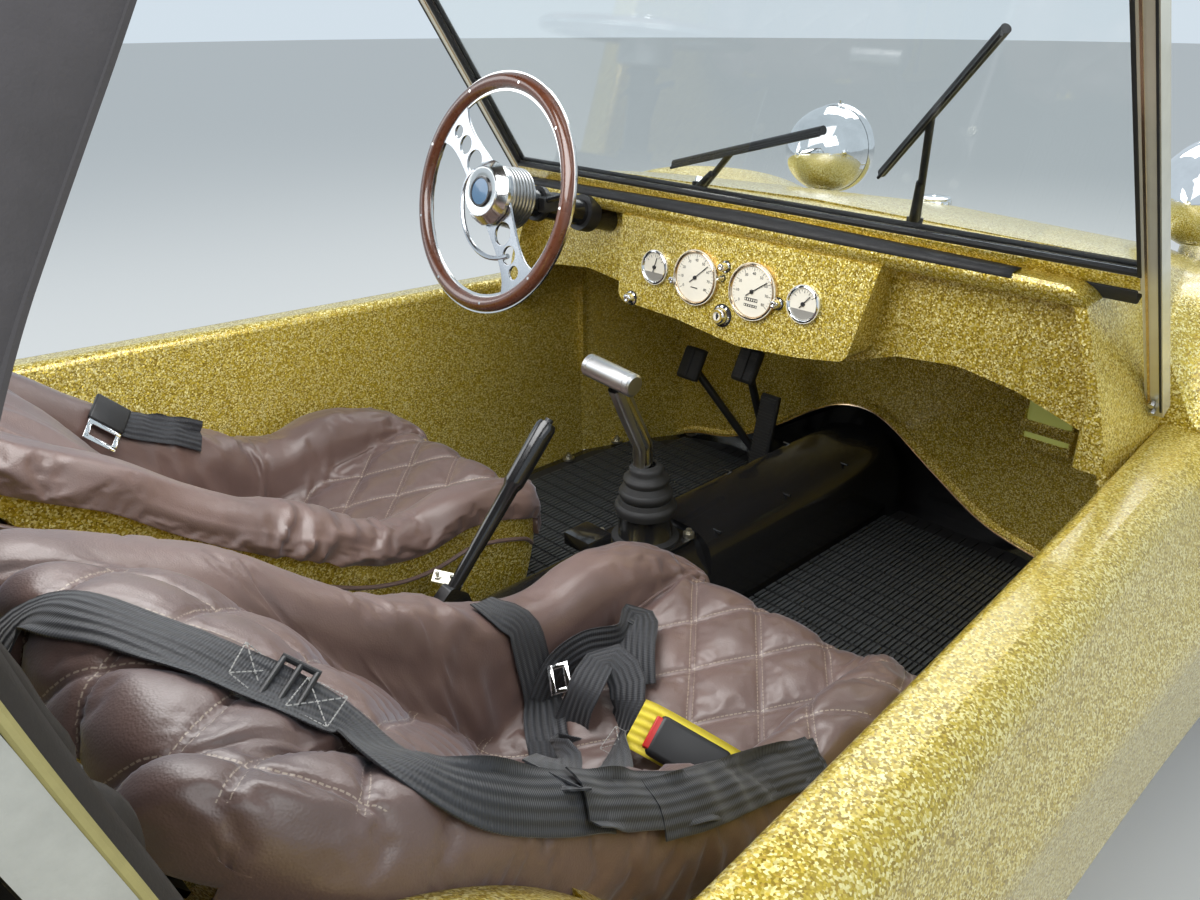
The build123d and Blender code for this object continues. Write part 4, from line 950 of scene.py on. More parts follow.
def driverBelt(far):
    # over the bolster's crest, with a sheath and a tongue
    crest = {px: next((py for py in range(390, 500, 3) if seenAt(far, px, py)), 450)
             for px in (92, 104, 118, 146, 174, 200)}
    path = seenPath(far, [(px, crest[px] + 8) for px in (104, 118, 146, 174, 200)])
    ribbon("belt_driver", path, blackWebbing, far, lift=0.004, samples=40, even=4)
    place, normal = seenAt(far, 104, crest[104] + 14)
    down = seenAt(far, 92, crest[92] + 38)[0] - seenAt(far, 104, crest[104] + 8)[0]
    matrix = placeOn(place + normal * 0.01, normal, down)
    beltPart("belt_sheath", matrix, (-0.03, -0.026, -0.004), (0.012, 0.026, 0.004), 0.003)
    strapPlate("belt_tongue_driver", matrix, ((0.01, 0.018, -0.024, 0.024), (0.018, 0.04, -0.024, -0.017),
                                              (0.018, 0.04, 0.017, 0.024), (0.036, 0.043, -0.024, 0.024)),
               0.0014)


def harness():
    near = treeOf([covers[0], nodes["seat_shell_right"], nodes["rear_body"], nodes["tub_sides"]])
    passengerBelts(near)
    buckleAndFittings(near)
    driverBelt(treeOf([covers[1]]))


harness()
print("belts laid")


# Dials, knobs and the steering wheel

# Matrix on the dash's sloped face: X to the right as the driver sees it, Y up, Z towards the driver
def facePlace(y, z):
    tilt = car["faceTilt"]
    out = Vector((-cos(tilt), 0, sin(tilt)))
    origin = Vector((car["faceX"] + (z - car["faceZ"]) * tan(tilt), y, z))
    right = Vector((0, -1, 0))
    return Matrix.Translation(origin) @ Matrix((right, out.cross(right), out)).transposed().to_4x4()


# Lathe in a matrix's own frame from (height, radius) points
def ringAt(bm, matrix, profile, steps=64):
    part = bmesh.new()
    addLathe(part, profile, (0, 0, 0), (0, 0, 1), steps)
    mesh = bpy.data.meshes.new("ring")
    part.to_mesh(mesh)
    part.free()
    mesh.transform(matrix)
    joinMesh(bm, mesh)


def addText(bm, text, matrix, size, depth):
    curve = bpy.data.curves.new("text", "FONT")
    curve.body = text
    curve.size = size
    curve.extrude = depth
    curve.resolution_u = 3
    curve.align_x = "CENTER"
    curve.align_y = "CENTER"
    mesh = meshOfCurve("text", curve)
    mesh.transform(matrix)
    joinMesh(bm, mesh)


# y, radius, needle's turn clockwise from straight up, marks, numerals
dialTable = [(0.1635, 0.028, 15, 5, ()), (0.0752, 0.043, 48, 9, range(0, 90, 10)),
             (-0.0367, 0.043, 55, 9, range(0, 90, 10)), (-0.1272, 0.028, 40, 5, ())]


def dialMarks(inks, matrix, inner, level, marks, numerals):
    sweep, share = (250, 4) if numerals else (110, 2)
    count = (marks - 1) * share + 1
    for k in range(count):
        a = radians(-sweep / 2 + sweep * k / (count - 1))
        half, long = (0.00035, 0.0045) if k % share == 0 else (0.0002, 0.0024)
        centre = matrix @ Matrix.Rotation(-a, 4, "Z") @ Matrix.Translation((0, inner - long / 2,
                level + 0.0003))
        localBox(inks, centre, (-half, -long / 2, 0), (half, long / 2, 0.0001))
    for k, value in enumerate(numerals):
        a = radians(-sweep / 2 + sweep * k / (len(numerals) - 1))
        spot = (sin(a) * (inner - 0.0085), cos(a) * (inner - 0.0085), level + 0.0003)
        addText(inks, str(value), matrix @ Matrix.Translation(spot), 0.0062, 0.00005)


def dials():
    chrome, brass, faces, lower, inks = (bmesh.new() for _ in range(5))
    for index, (y, r, turn, marks, numerals) in enumerate(dialTable):
        matrix = facePlace(y, car["faceZ"])
        proud = 0.0085 if numerals else 0.0065
        ringAt(brass if numerals else chrome, matrix,
               [(0, r + 0.0005), (proud * 0.55, r + 0.0006), (proud, r - 0.0012), (proud + 0.001, r - 0.0034),
                (proud - 0.0004, r - 0.0052), (proud - 0.003, r - 0.0058), (proud - 0.0034, r - 0.004)])
        level = proud - 0.0026
        ringAt(faces, matrix, [(level - 0.001, 0), (level, 0.0001), (level, r - 0.005),
                               (level - 0.001, r - 0.005)], 48)
        inner = r - 0.0075
        dialMarks(inks, matrix, inner, level, marks, numerals)
        needle = matrix @ Matrix.Rotation(-radians(turn), 4, "Z")
        localBox(inks, needle, (-0.0006, -r * 0.3, level + 0.001), (0.0006, inner - 0.004, level + 0.0016))
        ringAt(inks, matrix, [(level, 0.0032), (level + 0.0024, 0.003), (level + 0.0026, 0.0001)], 20)
        if not numerals:  # the grey part of a small dial's face
            bmesh.ops.create_circle(lower, cap_ends=True, segments=40, radius=r - 0.006,
                                    matrix=matrix @ Matrix.Translation((0, 0, level + 0.00015)))
            upward = (matrix.to_3x3() @ Vector((0, 1, 0))).normalized()
            made = [v for v in lower.verts if (v.co - matrix.translation).length < r]
            edges = list({e for v in made for e in v.link_edges})
            sides = list({f for v in made for f in v.link_faces})
            bmesh.ops.bisect_plane(lower, geom=made + edges + sides,
                                   plane_co=matrix @ Vector((0, -r * 0.3, 0)), plane_no=upward,
                                   clear_outer=True)
        if index == 2:  # counters
            for row, high in ((-0.012, 0.005), (-0.021, 0.004)):
                localBox(inks, matrix, (-0.012, row - high / 2, level + 0.0002),
                         (0.012, row + high / 2, level + 0.0004))
                for k in range(6):
                    spot = matrix @ Matrix.Translation((-0.01 + k * 0.004, row, level + 0.0006))
                    localBox(faces, spot, (-0.001, -high * 0.3, 0), (0.001, high * 0.3, 0.0001))
        if index == 1:
            localBox(inks, matrix, (-0.007, -0.0165, level + 0.0002), (0.007, -0.015, level + 0.0004))
    addPiece("dial_bezels_chrome", chrome, chromePlate, smooth=50)
    addPiece("dial_bezels_brass", brass, brassBezel, smooth=50)
    addPiece("dial_faces", faces, creamFace)
    addPiece("dial_lower", lower, plainFinish("dialShade", (0.3, 0.29, 0.26), 0.5))
    addPiece("dial_ink", inks, blackSatin)


# y, z, radius, height, lock
knobTable = [(0.212, 0.69, 0.0085, 0.014, False), (0.018, 0.702, 0.0125, 0.014, True),
             (0.118, 0.738, 0.0065, 0.014, False), (0.022, 0.776, 0.0065, 0.014, False),
             (-0.082, 0.741, 0.0065, 0.014, False), (0.026, 0.758, 0.004, 0.012, False)]


def knobs():
    chrome, black = bmesh.new(), bmesh.new()
    for y, z, r, high, lock in knobTable:
        matrix = facePlace(y, z)
        ringAt(chrome, matrix, [(0, r * 1.25), (0.002, r * 1.25), (0.003, r * 1.05), (high - 0.002, r),
                                (high, r * 0.85), (high, r * 0.55),
                                (high - (0.003 if lock else -0.0003), r * 0.5), (high - 0.001, 0.0001)], 32)
        ringAt(black, matrix, [(0, r * 1.45), (0.0015, r * 1.42), (0.0018, r * 1.2)], 32)
        if lock:
            localBox(black, matrix, (-0.0012, -0.005, high - 0.0022), (0.0012, 0.005, high - 0.0005))
    addPiece("dash_knobs", chrome, chromePlate, smooth=45)
    addPiece("dash_knob_seats", black, blackSatin)


dials()
knobs()


# Matrix at the steering wheel's centre: Z along the column to the driver, X to the car's left
def wheelPlace():
    tilt = car["columnTilt"]
    out = Vector((-cos(tilt), 0, sin(tilt)))
    across = Vector((0, 1, 0))
    return Matrix.Translation(car["wheelCentre"]) @ Matrix((across, out.cross(across),
            out)).transposed().to_4x4()


wheel = {"radius": 0.17, "thick": 0.012, "steps": 96, "sides": 14, "scallops": 24, "rivets": 9,
         "edge": 0.0018, "ribs": 7, "ribPitch": 0.0062}


def downColumn(distance):
    tilt = car["columnTilt"]
    return Vector(car["wheelCentre"]) + Vector((cos(tilt), 0, -sin(tilt))) * distance


def woodRimMesh(matrix):
    # rim with shallow finger scallops on its back
    wood = bmesh.new()
    steps, sides = wheel["steps"], wheel["sides"]
    ring = []
    for i in range(steps):
        a = 2 * pi * i / steps
        line = []
        for k in range(sides):
            b = 2 * pi * k / sides
            grow = 1 + 0.1 * max(0, -sin(b)) * cos(a * wheel["scallops"])
            rr = wheel["radius"] + cos(b) * wheel["thick"] * 0.98 * grow
            place = Vector((rr * cos(a), rr * sin(a), sin(b) * wheel["thick"] * 0.98 * grow))
            line.append(wood.verts.new(matrix @ place))
        ring.append(line)
    for i in range(steps):
        after = ring[(i + 1) % steps]
        for k in range(sides):
            n = (k + 1) % sides
            wood.faces.new((ring[i][k], after[k], after[n], ring[i][n]))
    return wood


def steeringWheel():
    matrix = wheelPlace()
    metal, blue, boss, black, clamps = (bmesh.new() for _ in range(5))
    r, thick, edge = wheel["radius"], wheel["thick"], wheel["edge"]
    for near, far in ((r - thick + 0.002, r - thick - 0.0035), (r + thick - 0.002, r + thick + 0.0022)):
        ringAt(metal, matrix, [(-edge, near), (-edge, far), (edge, far), (edge, near)], 96)
    for k in range(wheel["rivets"]):
        a = 2 * pi * (k + 0.5) / wheel["rivets"]
        spot = matrix @ Vector(((r - 0.001) * cos(a), (r - 0.001) * sin(a), thick * 0.93))
        addRod(metal, spot, spot + (matrix.to_3x3() @ Vector((0, 0, 0.0012))), 0.0022, 12)
    # hub: coned cap with a bright flat ring, black ring and blue middle
    ringAt(metal, matrix, [(0.004, 0.0495), (0.01, 0.05), (0.0215, 0.04), (0.0235, 0.0375)], 12)
    ringAt(metal, matrix, [(0.0225, 0.0385), (0.0245, 0.037), (0.0245, 0.024), (0.0235, 0.0225)], 64)
    ringAt(black, matrix, [(0.023, 0.0235), (0.0262, 0.0228), (0.0262, 0.02), (0.024, 0.0195)], 48)
    ringAt(blue, matrix, [(0.0238, 0.0205), (0.0252, 0.0195), (0.0258, 0.01), (0.026, 0.0001)], 40)
    # ribbed boss behind the hub
    profile = [(-0.003, 0.04)]
    for k in range(wheel["ribs"]):
        z, grow = -0.006 - k * wheel["ribPitch"], 0.0005 * k
        profile += [(z, 0.045 + grow), (z - 0.0036, 0.045 + grow), (z - 0.0042, 0.0418 + grow),
                    (z - 0.0056, 0.0418 + grow)]
    ringAt(boss, matrix, profile + [(-0.0515, 0.042), (-0.052, 0.012)], 48)
    blueCap = plainFinish("blueCap", (0.05, 0.13, 0.24), 0.25, coat=0.6)
    # columns: name, mesh, finish, slot, smooth
    for name, bm, finish, slot, smooth in (
            ("wheel_cap_ring", black, blackGloss, "wheel_wood", 40),
            ("wheel_wood", woodRimMesh(matrix), woodRim, "wheel_wood", 60),
            ("wheel_metal", metal, polishedAlloy, "polished_alloy", 40),
            ("wheel_centre", blue, blueCap, "wheel_wood", 35),
            ("wheel_boss", boss, satinAlloy, "polished_alloy", 30)):
        addPiece(name, bm, finish, "steering_wheel", smooth=smooth)
    # column clamps and the switch's foot stay with the car
    for s0, s1, rr in ((0.056, 0.066, 0.027), (0.09, 0.1, 0.028), (0.19, 0.214, 0.03)):
        addRod(clamps, downColumn(s0), downColumn(s1), rr, 32)
    foot = downColumn(0.1)
    addBox(clamps, foot + Vector((-0.02, -0.034, -0.008)), foot + Vector((0.03, 0, 0.016)), 0.003)
    addPiece("column_clamps", clamps, blackSatin, smooth=40)


steeringWheel()
print("dash and wheel dressed")


# Windscreen trim, wiper arms and the scuttle

# Point s up the screen from the glass's foot, and forward along its normal
def onScreen(s, forward, y):
    x0, z0 = car["screenFoot"]
    rake = car["screenRake"]
    return Vector((x0 - s * sin(rake) + forward * cos(rake), y,
                   z0 + s * cos(rake) + forward * sin(rake)))


def screenBar(bm, s0, s1, back, front, y0, y1, bevel=0):
    corners = [onScreen(s, f, y) for y in (y0, y1) for s,
               f in ((s0, back), (s1, back), (s1, front), (s0, front))]
    verts = [bm.verts.new(c) for c in corners]
    for quad in ((0, 1, 2, 3), (7, 6, 5, 4), (0, 4, 5, 1), (1, 5, 6, 2), (2, 6, 7, 3), (3, 7, 4, 0)):
        bm.faces.new([verts[i] for i in quad])
    if bevel:
        bevelAll(bm, verts, bevel)


def screenTrim():
    rubber, gold, bright, brass = (bmesh.new() for _ in range(4))
    high, half = car["glassHeight"], car["glassHalf"]
    # wide rubber under the rail, gold strip, thin rubber over it and along the top
    screenBar(rubber, -0.046, -0.024, -0.0135, 0.0135, -half + 0.004, half - 0.004, 0.003)
    screenBar(gold, -0.0235, -0.003, -0.0125, 0.0125, -half + 0.001, half - 0.001, 0.002)
    for s0, s1, thin in ((-0.003, 0.004, 0.004), (high - 0.004, high + 0.006, 0.0036)):
        screenBar(rubber, s0, s1, -0.0118, -thin, -half + 0.001, half - 0.001, 0.002)
        screenBar(rubber, s0, s1, thin, 0.0118, -half + 0.001, half - 0.001, 0.002)
    # up each post: bar, lowest and highest s, back and front, y from the glass's edge, bevel
    posts = [(rubber, -0.004, high + 0.003, -0.0118, -0.0036, -0.005, 0.0005, 0.0015),
             (rubber, -0.004, high + 0.003, 0.0036, 0.0118, -0.005, 0.0005, 0.0015),
             (brass, -0.23, high + 0.01, -0.0122, -0.0108, 0.004, 0.007, 0),
             (rubber, -0.235, high + 0.015, -0.0121, -0.0106, 0.018, 0.0205, 0),
             (bright, -0.242, -0.206, -0.015, 0.015, -0.01, 0.001, 0.002)]
    # bolts: s, forward, way out, radius, sides
    bolts = [(-0.232, -0.013, (-0.006, 0, -0.004), 0.0042, 6),
             (-0.216, -0.013, (-0.006, 0, -0.004), 0.0042, 6)]
    bolts += [(s, 0.0105, (0.003, 0, 0.002), 0.003, 12) for s in (0.06, 0.2, 0.34)]
    for side in (-1, 1):
        for bm, s0, s1, back, front, y0, y1, bevel in posts:
            screenBar(bm, s0, s1, back, front, *sorted((side * (half + y0), side * (half + y1))), bevel)
        for s, forward, out, r, sides in bolts:
            spot = onScreen(s, forward, side * (half + 0.011))
            addRod(bright, spot, spot + Vector(out), r, sides)
    addPiece("screen_rubbers", rubber, blackRubber)
    addPiece("screen_gold_strip", gold, goldBody)
    addPiece("screen_brass_lines", brass, brassBezel)
    addPiece("screen_brackets", bright, satinAlloy)


# pivot, arm's end, blade's start and end
wiperTable = [((0.282, 0.142, 0.871), (0.235, 0.037, 0.944), (0.258, 0.171, 0.909), (0.204, -0.139, 0.992)),
              ((0.283, -0.241, 0.871), (0.183, -0.302, 1.025), (0.237, -0.213, 0.942),
               (0.119, -0.408, 1.124))]


def wiperTrim():
    black, chrome = bmesh.new(), bmesh.new()
    off = Vector((-cos(car["screenRake"]), 0, -sin(car["screenRake"])))
    for row in wiperTable:
        pivot, end, low, high = (Vector(p) for p in row)
        way = (high - low).normalized()
        for away, r in ((0.01, 0.0022), (0.005, 0.0032)):
            addRod(black, low + off * away, high + off * away, r, 8)
        for t in (0.12, 0.32, 0.5, 0.68, 0.88):
            spot = low.lerp(high, t)
            addRod(black, spot - way * 0.01, spot + way * 0.01, 0.0055, 8)
        cap = pivot + Vector((0.004, 0, 0.01))
        addRod(black, pivot + Vector((0, 0, -0.02)), cap, 0.011, 20)
        addRod(chrome, cap, pivot + Vector((0.0065, 0, 0.017)), 0.0075, 6)
        arm = end - pivot
        addRod(black, pivot + arm * 0.05, pivot + arm * 0.42, 0.0068, 10, 0.005)
    addPiece("wiper_details", black, blackSatin, smooth=45)
    addPiece("wiper_nuts", chrome, chromePlate)


screenTrim()
wiperTrim()


# Floor, bulkhead edge, levers and pedals

# The lower edge of the bulkhead as (y, z)
archLine = [(-0.456, 0.237), (-0.4, 0.262), (-0.275, 0.294), (-0.16, 0.362), (-0.045, 0.434), (0.04, 0.434),
            (0.115, 0.394), (0.195, 0.338), (0.3, 0.282), (0.4, 0.262), (0.456, 0.237)]


def toeOpening():
    gold, bell = bmesh.new(), bmesh.new()
    line = [(y, z) for y, z, _ in smoothLine([(y, z, 0) for y, z in archLine], 80)]
    # rolled double lip: x, rise over the edge
    lip = [(0.606, 0), (0.604, 0.006), (0.609, 0.011), (0.613, 0.006), (0.6165, 0.01), (0.6165, 0.026)]
    rows = []
    for i, (y, z) in enumerate(line):
        a, b = line[max(i - 1, 0)], line[min(i + 1, len(line) - 1)]
        out = Vector((0, -(b[1] - a[1]), b[0] - a[0])).normalized()
        rows.append([gold.verts.new(Vector((x, y, z)) + out * (rise + 0.001)) for x, rise in lip])
    skinRows(gold, rows)
    addPiece("bulkhead_lip", gold, goldBody, smooth=25)
    tubeAlong("bulkhead_edge", [(0.6055, y, z + 0.0008) for y, z in line[2:-2:3]], 0.002, brassBezel)
    # black toe box behind the opening, rounded like a bell: x, share of the opening
    rings = []
    for x, share in ((0.622, 1), (0.66, 0.985), (0.684, 0.95), (0.697, 0.88), (0.699, 0.7)):
        rings.append([bell.verts.new((x, y * (0.92 + 0.08 * share), 0.25 + (z - 0.25) * share))
                      for y, z in line[6:-6:2]])
    skinRows(bell, rings)
    made = addPiece("toe_bell", bell, blackGloss, smooth=40)
    made.modifiers.new("wall", "SOLIDIFY").thickness = 0.003


matRib = {"size": (0.026, 0.0052, 0.0026), "stepX": 0.031, "stepY": 0.0088, "startX": -0.145, "startY": 0.088,
          "endY": 0.5, "wideX": 0.64, "narrowX": 0.56, "narrowY": 0.43}


def matRibs():
    # fine lengthwise bars with cross nicks
    bm = bmesh.new()
    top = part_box("floor_mats")[1][2]
    for side in (-1, 1):
        y = matRib["startY"]
        while y < matRib["endY"]:
            x = matRib["startX"]
            while x < (matRib["wideX"] if y < matRib["narrowY"] else matRib["narrowX"]) - 0.05:
                place = Matrix.Translation((x + 0.0145, side * y, top + 0.0006))
                bmesh.ops.create_cube(bm, size=1, matrix=place @ Matrix.Diagonal((*matRib["size"], 1)))
                x += matRib["stepX"]
            y += matRib["stepY"]
    addPiece("mat_ribs", bm, matRubber)


def floorDetails():
    bright, black, steel = (bmesh.new() for _ in range(3))
    # flange bolts with washers along the floor, both sides
    for side in (1, -1):
        for x, y in ((0.468, 0.529), (0.619, 0.443), (0.33, 0.536), (0.15, 0.542), (-0.03, 0.545)):
            spot = Vector((x, side * (y - 0.018), car["floorZ"] + 0.012))
            for low, high, r, sides in ((-0.004, 0.0016, 0.0125, 24), (0, 0.0075, 0.007, 6),
                    (0.006, 0.0115, 0.004, 10)):
                addRod(bright, spot + Vector((0, 0, low)), spot + Vector((0, 0, high)), r, sides)
    addPiece("floor_bolts", bright, zincPlate)
    # tunnel weld seams and inspection plate
    for x in (0.12, 0.3, 0.47):
        addRod(black, (x, -0.07, 0.3875), (x, 0.07, 0.3875), 0.0022, 8)
    addBox(black, (0.205, -0.04, 0.386), (0.265, 0.04, 0.3895), 0.001)
    addPiece("tunnel_plate", black, blackGloss)
    # bolts of the plate, the lever's base and the handbrake: x, y, then bottom, top, radius, sides
    bolts = [(0.235, y, ((0.388, 0.393, 0.004, 6),)) for y in (-0.034, 0.034)]
    bolts += [(x, y, ((0.39, 0.4045, 0.0048, 6), (0.39, 0.3985, 0.0088, 20)))
              for x in (-0.026, 0.07) for y in (-0.047, 0.047)]
    bolts += [(x, y, ((0.402, 0.411, 0.0068, 6), (0.402, 0.417, 0.0038, 12), (0.4018, 0.4034, 0.0105, 20)))
              for x, y in ((-0.366, 0.044), (-0.336, 0.046))]
    for x, y, parts in bolts:
        for low, high, r, sides in parts:
            addRod(steel, (x, y, low), (x, y, high), r, sides)
    addBox(steel, (-0.385, 0.01, 0.3985), (-0.315, 0.062, 0.402), 0.001)
    addBox(steel, (-0.385, 0.058, 0.387), (-0.315, 0.062, 0.402), 0.001)
    addPiece("lever_bolts", steel, zincPlate)


lever = {
    # shank: place, radius
    "shank": [((0.0178, 0.003, 0.515), 0.0118), ((0.015, 0.002, 0.549), 0.012),
              ((-0.016, 0.001, 0.608), 0.0118), ((-0.04, 0, 0.656), 0.0116)],
    "handle": ((-0.045, -0.0385, 0.6678), (-0.045, 0.0535, 0.6762)),
    # half of the handle: from its end, radius
    "profile": [(0, 0.0001), (0, 0.0135), (0.0028, 0.0166), (0.01, 0.0166), (0.0104, 0.0161),
                (0.0112, 0.0161), (0.0116, 0.0166)],
    # boot: height, radius
    "boot": [(0.437, 0.0455), (0.446, 0.0478), (0.452, 0.0462), (0.455, 0.04), (0.46, 0.0375),
             (0.4655, 0.0405), (0.4715, 0.0415), (0.476, 0.038), (0.4795, 0.033), (0.485, 0.0325),
             (0.49, 0.035), (0.495, 0.034), (0.4985, 0.028), (0.504, 0.0255), (0.509, 0.0262), (0.513, 0.023),
             (0.515, 0.014)],
    "can": [(0.3915, 0.044), (0.398, 0.0435), (0.4, 0.0418), (0.434, 0.0412), (0.4365, 0.044), (0.44, 0.044)],
    "foot": (0.022, 0, 0),
}
handbrake = {
    "low": (-0.215, 0.022, 0.5569), "top": (-0.151, 0.022, 0.6265),
    "grip": [(-0.1, 0.0096), (-0.06, 0.0104), (-0.006, 0.0112), (0, 0.0138), (0.004, 0.0142), (0.07, 0.015),
             (0.088, 0.0146), (0.0945, 0.012), (0.095, 0.0001)],
    "bracketPixel": (445, 578), "bracketNear": (-0.268, 0.022, 0.47),
}


def leverDetails():
    alloy, rubber, black = bmesh.new(), bmesh.new(), bmesh.new()
    # flat-sided bent shank over the round bar
    path = lever["shank"]
    rings = []
    for i, (place, r) in enumerate(path):
        way = Vector(path[min(i + 1, len(path) - 1)][0]) - Vector(path[max(i - 1, 0)][0])
        matrix = placeOn(place, way)
        ring = []
        for k in range(16):
            t = 2 * pi * k / 16
            x = copysign(abs(cos(t)) ** 0.55, cos(t)) * r * 0.95
            y = copysign(abs(sin(t)) ** 0.55, sin(t)) * r * 1.2
            ring.append(alloy.verts.new(matrix @ Vector((x, y, 0))))
        rings.append(ring)
    skinRows(alloy, rings, closed=True)
    # handle with chamfered ends and a groove by each
    start, end = (Vector(p) for p in lever["handle"])
    long = (end - start).length
    profile = lever["profile"] + [(long - a, b) for a, b in reversed(lever["profile"])]
    addLathe(alloy, profile, start, end - start, 40)
    addPiece("lever_shank", alloy, satinAlloy, smooth=40)
    addLathe(rubber, lever["boot"], lever["foot"], (0, 0, 1), 48)
    addPiece("lever_boot", rubber, blackRubber, smooth=50)
    # base can on a square flange, and the handbrake's grip with a step
    addBox(black, (-0.036, -0.056, 0.3872), (0.08, 0.056, 0.3915), 0.0015)
    addLathe(black, lever["can"], lever["foot"], (0, 0, 1), 48)
    addBox(black, (-0.08, 0.02, 0.388), (-0.03, 0.075, 0.41), 0.003)
    low, top = Vector(handbrake["low"]), Vector(handbrake["top"])
    addLathe(black, handbrake["grip"], low, top - low, 24)
    addPiece("lever_base", black, blackGloss, smooth=40)
    button = bmesh.new()
    way = (top - low).normalized()
    addRod(button, top - way * 0.002, top + way * 0.006, 0.0058, 16)
    addPiece("handbrake_button", button, blackSatin)


def handbrakeBracket():
    plate = bmesh.new()
    eye = Vector(view["place"])
    spot = eye + pixelRay(*handbrake["bracketPixel"]) * (Vector(handbrake["bracketNear"]) - eye).length
    matrix = placeOn(spot, (-0.35, -0.45, 0.82), (0.45, -0.75, 0))
    localBox(plate, matrix, (-0.017, -0.009, -0.001), (0.017, 0.009, 0.001), 0.0006)
    for x in (-0.01, 0.01):
        for low, high, r, sides in ((-0.02, 0.008, 0.0026, 10), (0.001, 0.005, 0.0055, 6)):
            addRod(plate, matrix @ Vector((x, 0, low)), matrix @ Vector((x, 0, high)), r, sides)
        addLathe(plate, [(0, 0.0026), (0.004, 0.003), (0.007, 0.0022), (0.008, 0.0002)],
                 matrix @ Vector((x, 0, 0.007)), matrix.to_3x3() @ Vector((0, 0, 1)), 10)
    addPiece("handbrake_bracket", plate, zincPlate)


def pedalFace(y, z, lean, off):
    out = Vector((-cos(radians(lean)), 0, sin(radians(lean))))
    return Matrix.Translation(Vector((0.512, y, z)) + out * off) @ placeOn((0, 0, 0), out)


def pedalPads():
    black = bmesh.new()
    for y, z in ((0.337, 0.463), (0.196, 0.495)):
        matrix = pedalFace(y, z, 28, 0.0052)
        localBox(black, matrix, (-0.027, -0.034, -0.011), (0.027, 0.034, 0.0045), 0.007)
        localBox(black, matrix, (-0.003, -0.03, 0.003), (0.003, 0.03, 0.0072), 0.0015)
        for k in (-3, -2, -1, 1, 2, 3):
            localBox(black, matrix, (-0.021, k * 0.0085 - 0.0012, 0.003),
                     (0.021, k * 0.0085 + 0.0012, 0.0056))
    matrix = pedalFace(0.147, 0.366, 12, 0.004)
    localBox(black, matrix, (-0.022, -0.078, -0.006), (0.022, 0.078, 0.003), 0.006)
    for k in range(-12, 13):
        localBox(black, matrix, (-0.018, k * 0.006 - 0.0013, 0.002), (0.018, k * 0.006 + 0.0013, 0.0052))
    addPiece("pedal_pads", black, blackRubber, smooth=45)


toeOpening()
matRibs()
floorDetails()
leverDetails()
handbrakeBracket()
pedalPads()
print("floor and levers dressed")


# Lamps, caps and the bottle

lamp = {"x": 1.004, "y": 0.391, "z": 0.833, "radius": 0.092, "flute": 0.0105, "flutes": 7}


def lamps():
    chrome, lens, rim, mirror = (bmesh.new() for _ in range(4))
    x, z, r = lamp["x"], lamp["z"], lamp["radius"]
    for y in (-lamp["y"], lamp["y"]):
        centre = (x, y, z)
        addLathe(rim, [(0.026, r + 0.0006), (0.034, r + 0.0036), (0.044, r + 0.004), (0.0505, r + 0.0006),
                       (0.053, r - 0.007), (0.05, r - 0.0105)], centre, (1, 0, 0), 64)
        addLathe(mirror, [(0.0472, r - 0.008), (0.0475, 0.0001)], centre, (1, 0, 0), 48)
        addLathe(lens, [(0.049, r - 0.0105), (0.059, r * 0.72), (0.066, r * 0.4), (0.0685, 0.0002)], centre,
                 (1, 0, 0), 48)
        # fluted lens bars, six straight parts each
        for k in range(-lamp["flutes"], lamp["flutes"] + 1):
            off = k * lamp["flute"]
            half = sqrt(max((r - 0.014) ** 2 - off ** 2, 0)) * 0.92
            rise = 0.052 + 0.0155 * (1 - (off / r) ** 2)
            bar = []
            for t in range(7):
                level = -half + 2 * half * t / 6
                bar.append((x + rise + (0.001 - 0.0155 * (level / r) ** 2), y + off, z + level))
            for start, end in zip(bar, bar[1:]):
                addRod(lens, start, end, 0.0009, 6)
        addRod(rim, (x + 0.04, y, z + r + 0.002), (x + 0.04, y, z + r + 0.01), 0.004, 12)
        addLathe(chrome, [(0, 0.034), (0.004, 0.034), (0.008, 0.03), (0.014, 0.027)], (x - 0.004, y, 0.752),
                 (0, 0, 1), 40)
        addLathe(rim, [(-0.109, 0.0001), (-0.1085, 0.005), (-0.105, 0.006)], centre, (1, 0, 0), 20)
    addPiece("lamp_rims", rim, chromePlate, smooth=45)
    addPiece("lamp_feet", chrome, chromePlate, smooth=45)
    addPiece("lamp_mirrors", mirror, satinAlloy)
    addPiece("lamp_lenses", lens, clearGlass, smooth=50)


def smallFittings():
    chrome, plastic, gold, black = (bmesh.new() for _ in range(4))
    filler = (0.785, 0, 0.8)
    addLathe(chrome, [(0.0105, 0.0001), (0.0125, 0.006), (0.0105, 0.026), (0.006, 0.0308), (-0.006, 0.0312),
                      (-0.01, 0.03)], filler, (0, 0, 1), 48)
    addLathe(chrome, [(-0.03, 0.04), (-0.026, 0.0405), (-0.022, 0.037), (-0.02, 0.026)], filler, (0, 0, 1),
             48)
    for k in range(12):
        x, y = filler[0] + 0.03 * cos(2 * pi * k / 12), 0.03 * sin(2 * pi * k / 12)
        addRod(chrome, (x, y, 0.794), (x, y, 0.805), 0.0022, 6)
    low, high = (Vector(c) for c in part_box("washer_bottle"))
    addBox(plastic, low + Vector((-0.0015, -0.001, -0.001)), (high.x + 0.001, high.y + 0.001, low.z + 0.084),
           0.01)
    middle = (low + high) / 2
    addRod(black, (middle.x, middle.y, low.z + 0.084), (middle.x, middle.y, high.z + 0.002), 0.014, 24)
    # gold strap that holds the bottle
    addBox(gold, low + Vector((-0.0045, -0.006, 0.022)), (high.x + 0.002, high.y + 0.006, low.z + 0.042),
           0.001)
    addPiece("bottle_body", plastic, bottleGlowPlastic, smooth=50)
    addPiece("bottle_cap", black, blackSatin)
    addPiece("bottle_strap", gold, goldBody)
    addPiece("filler_detail", chrome, chromePlate, smooth=45)


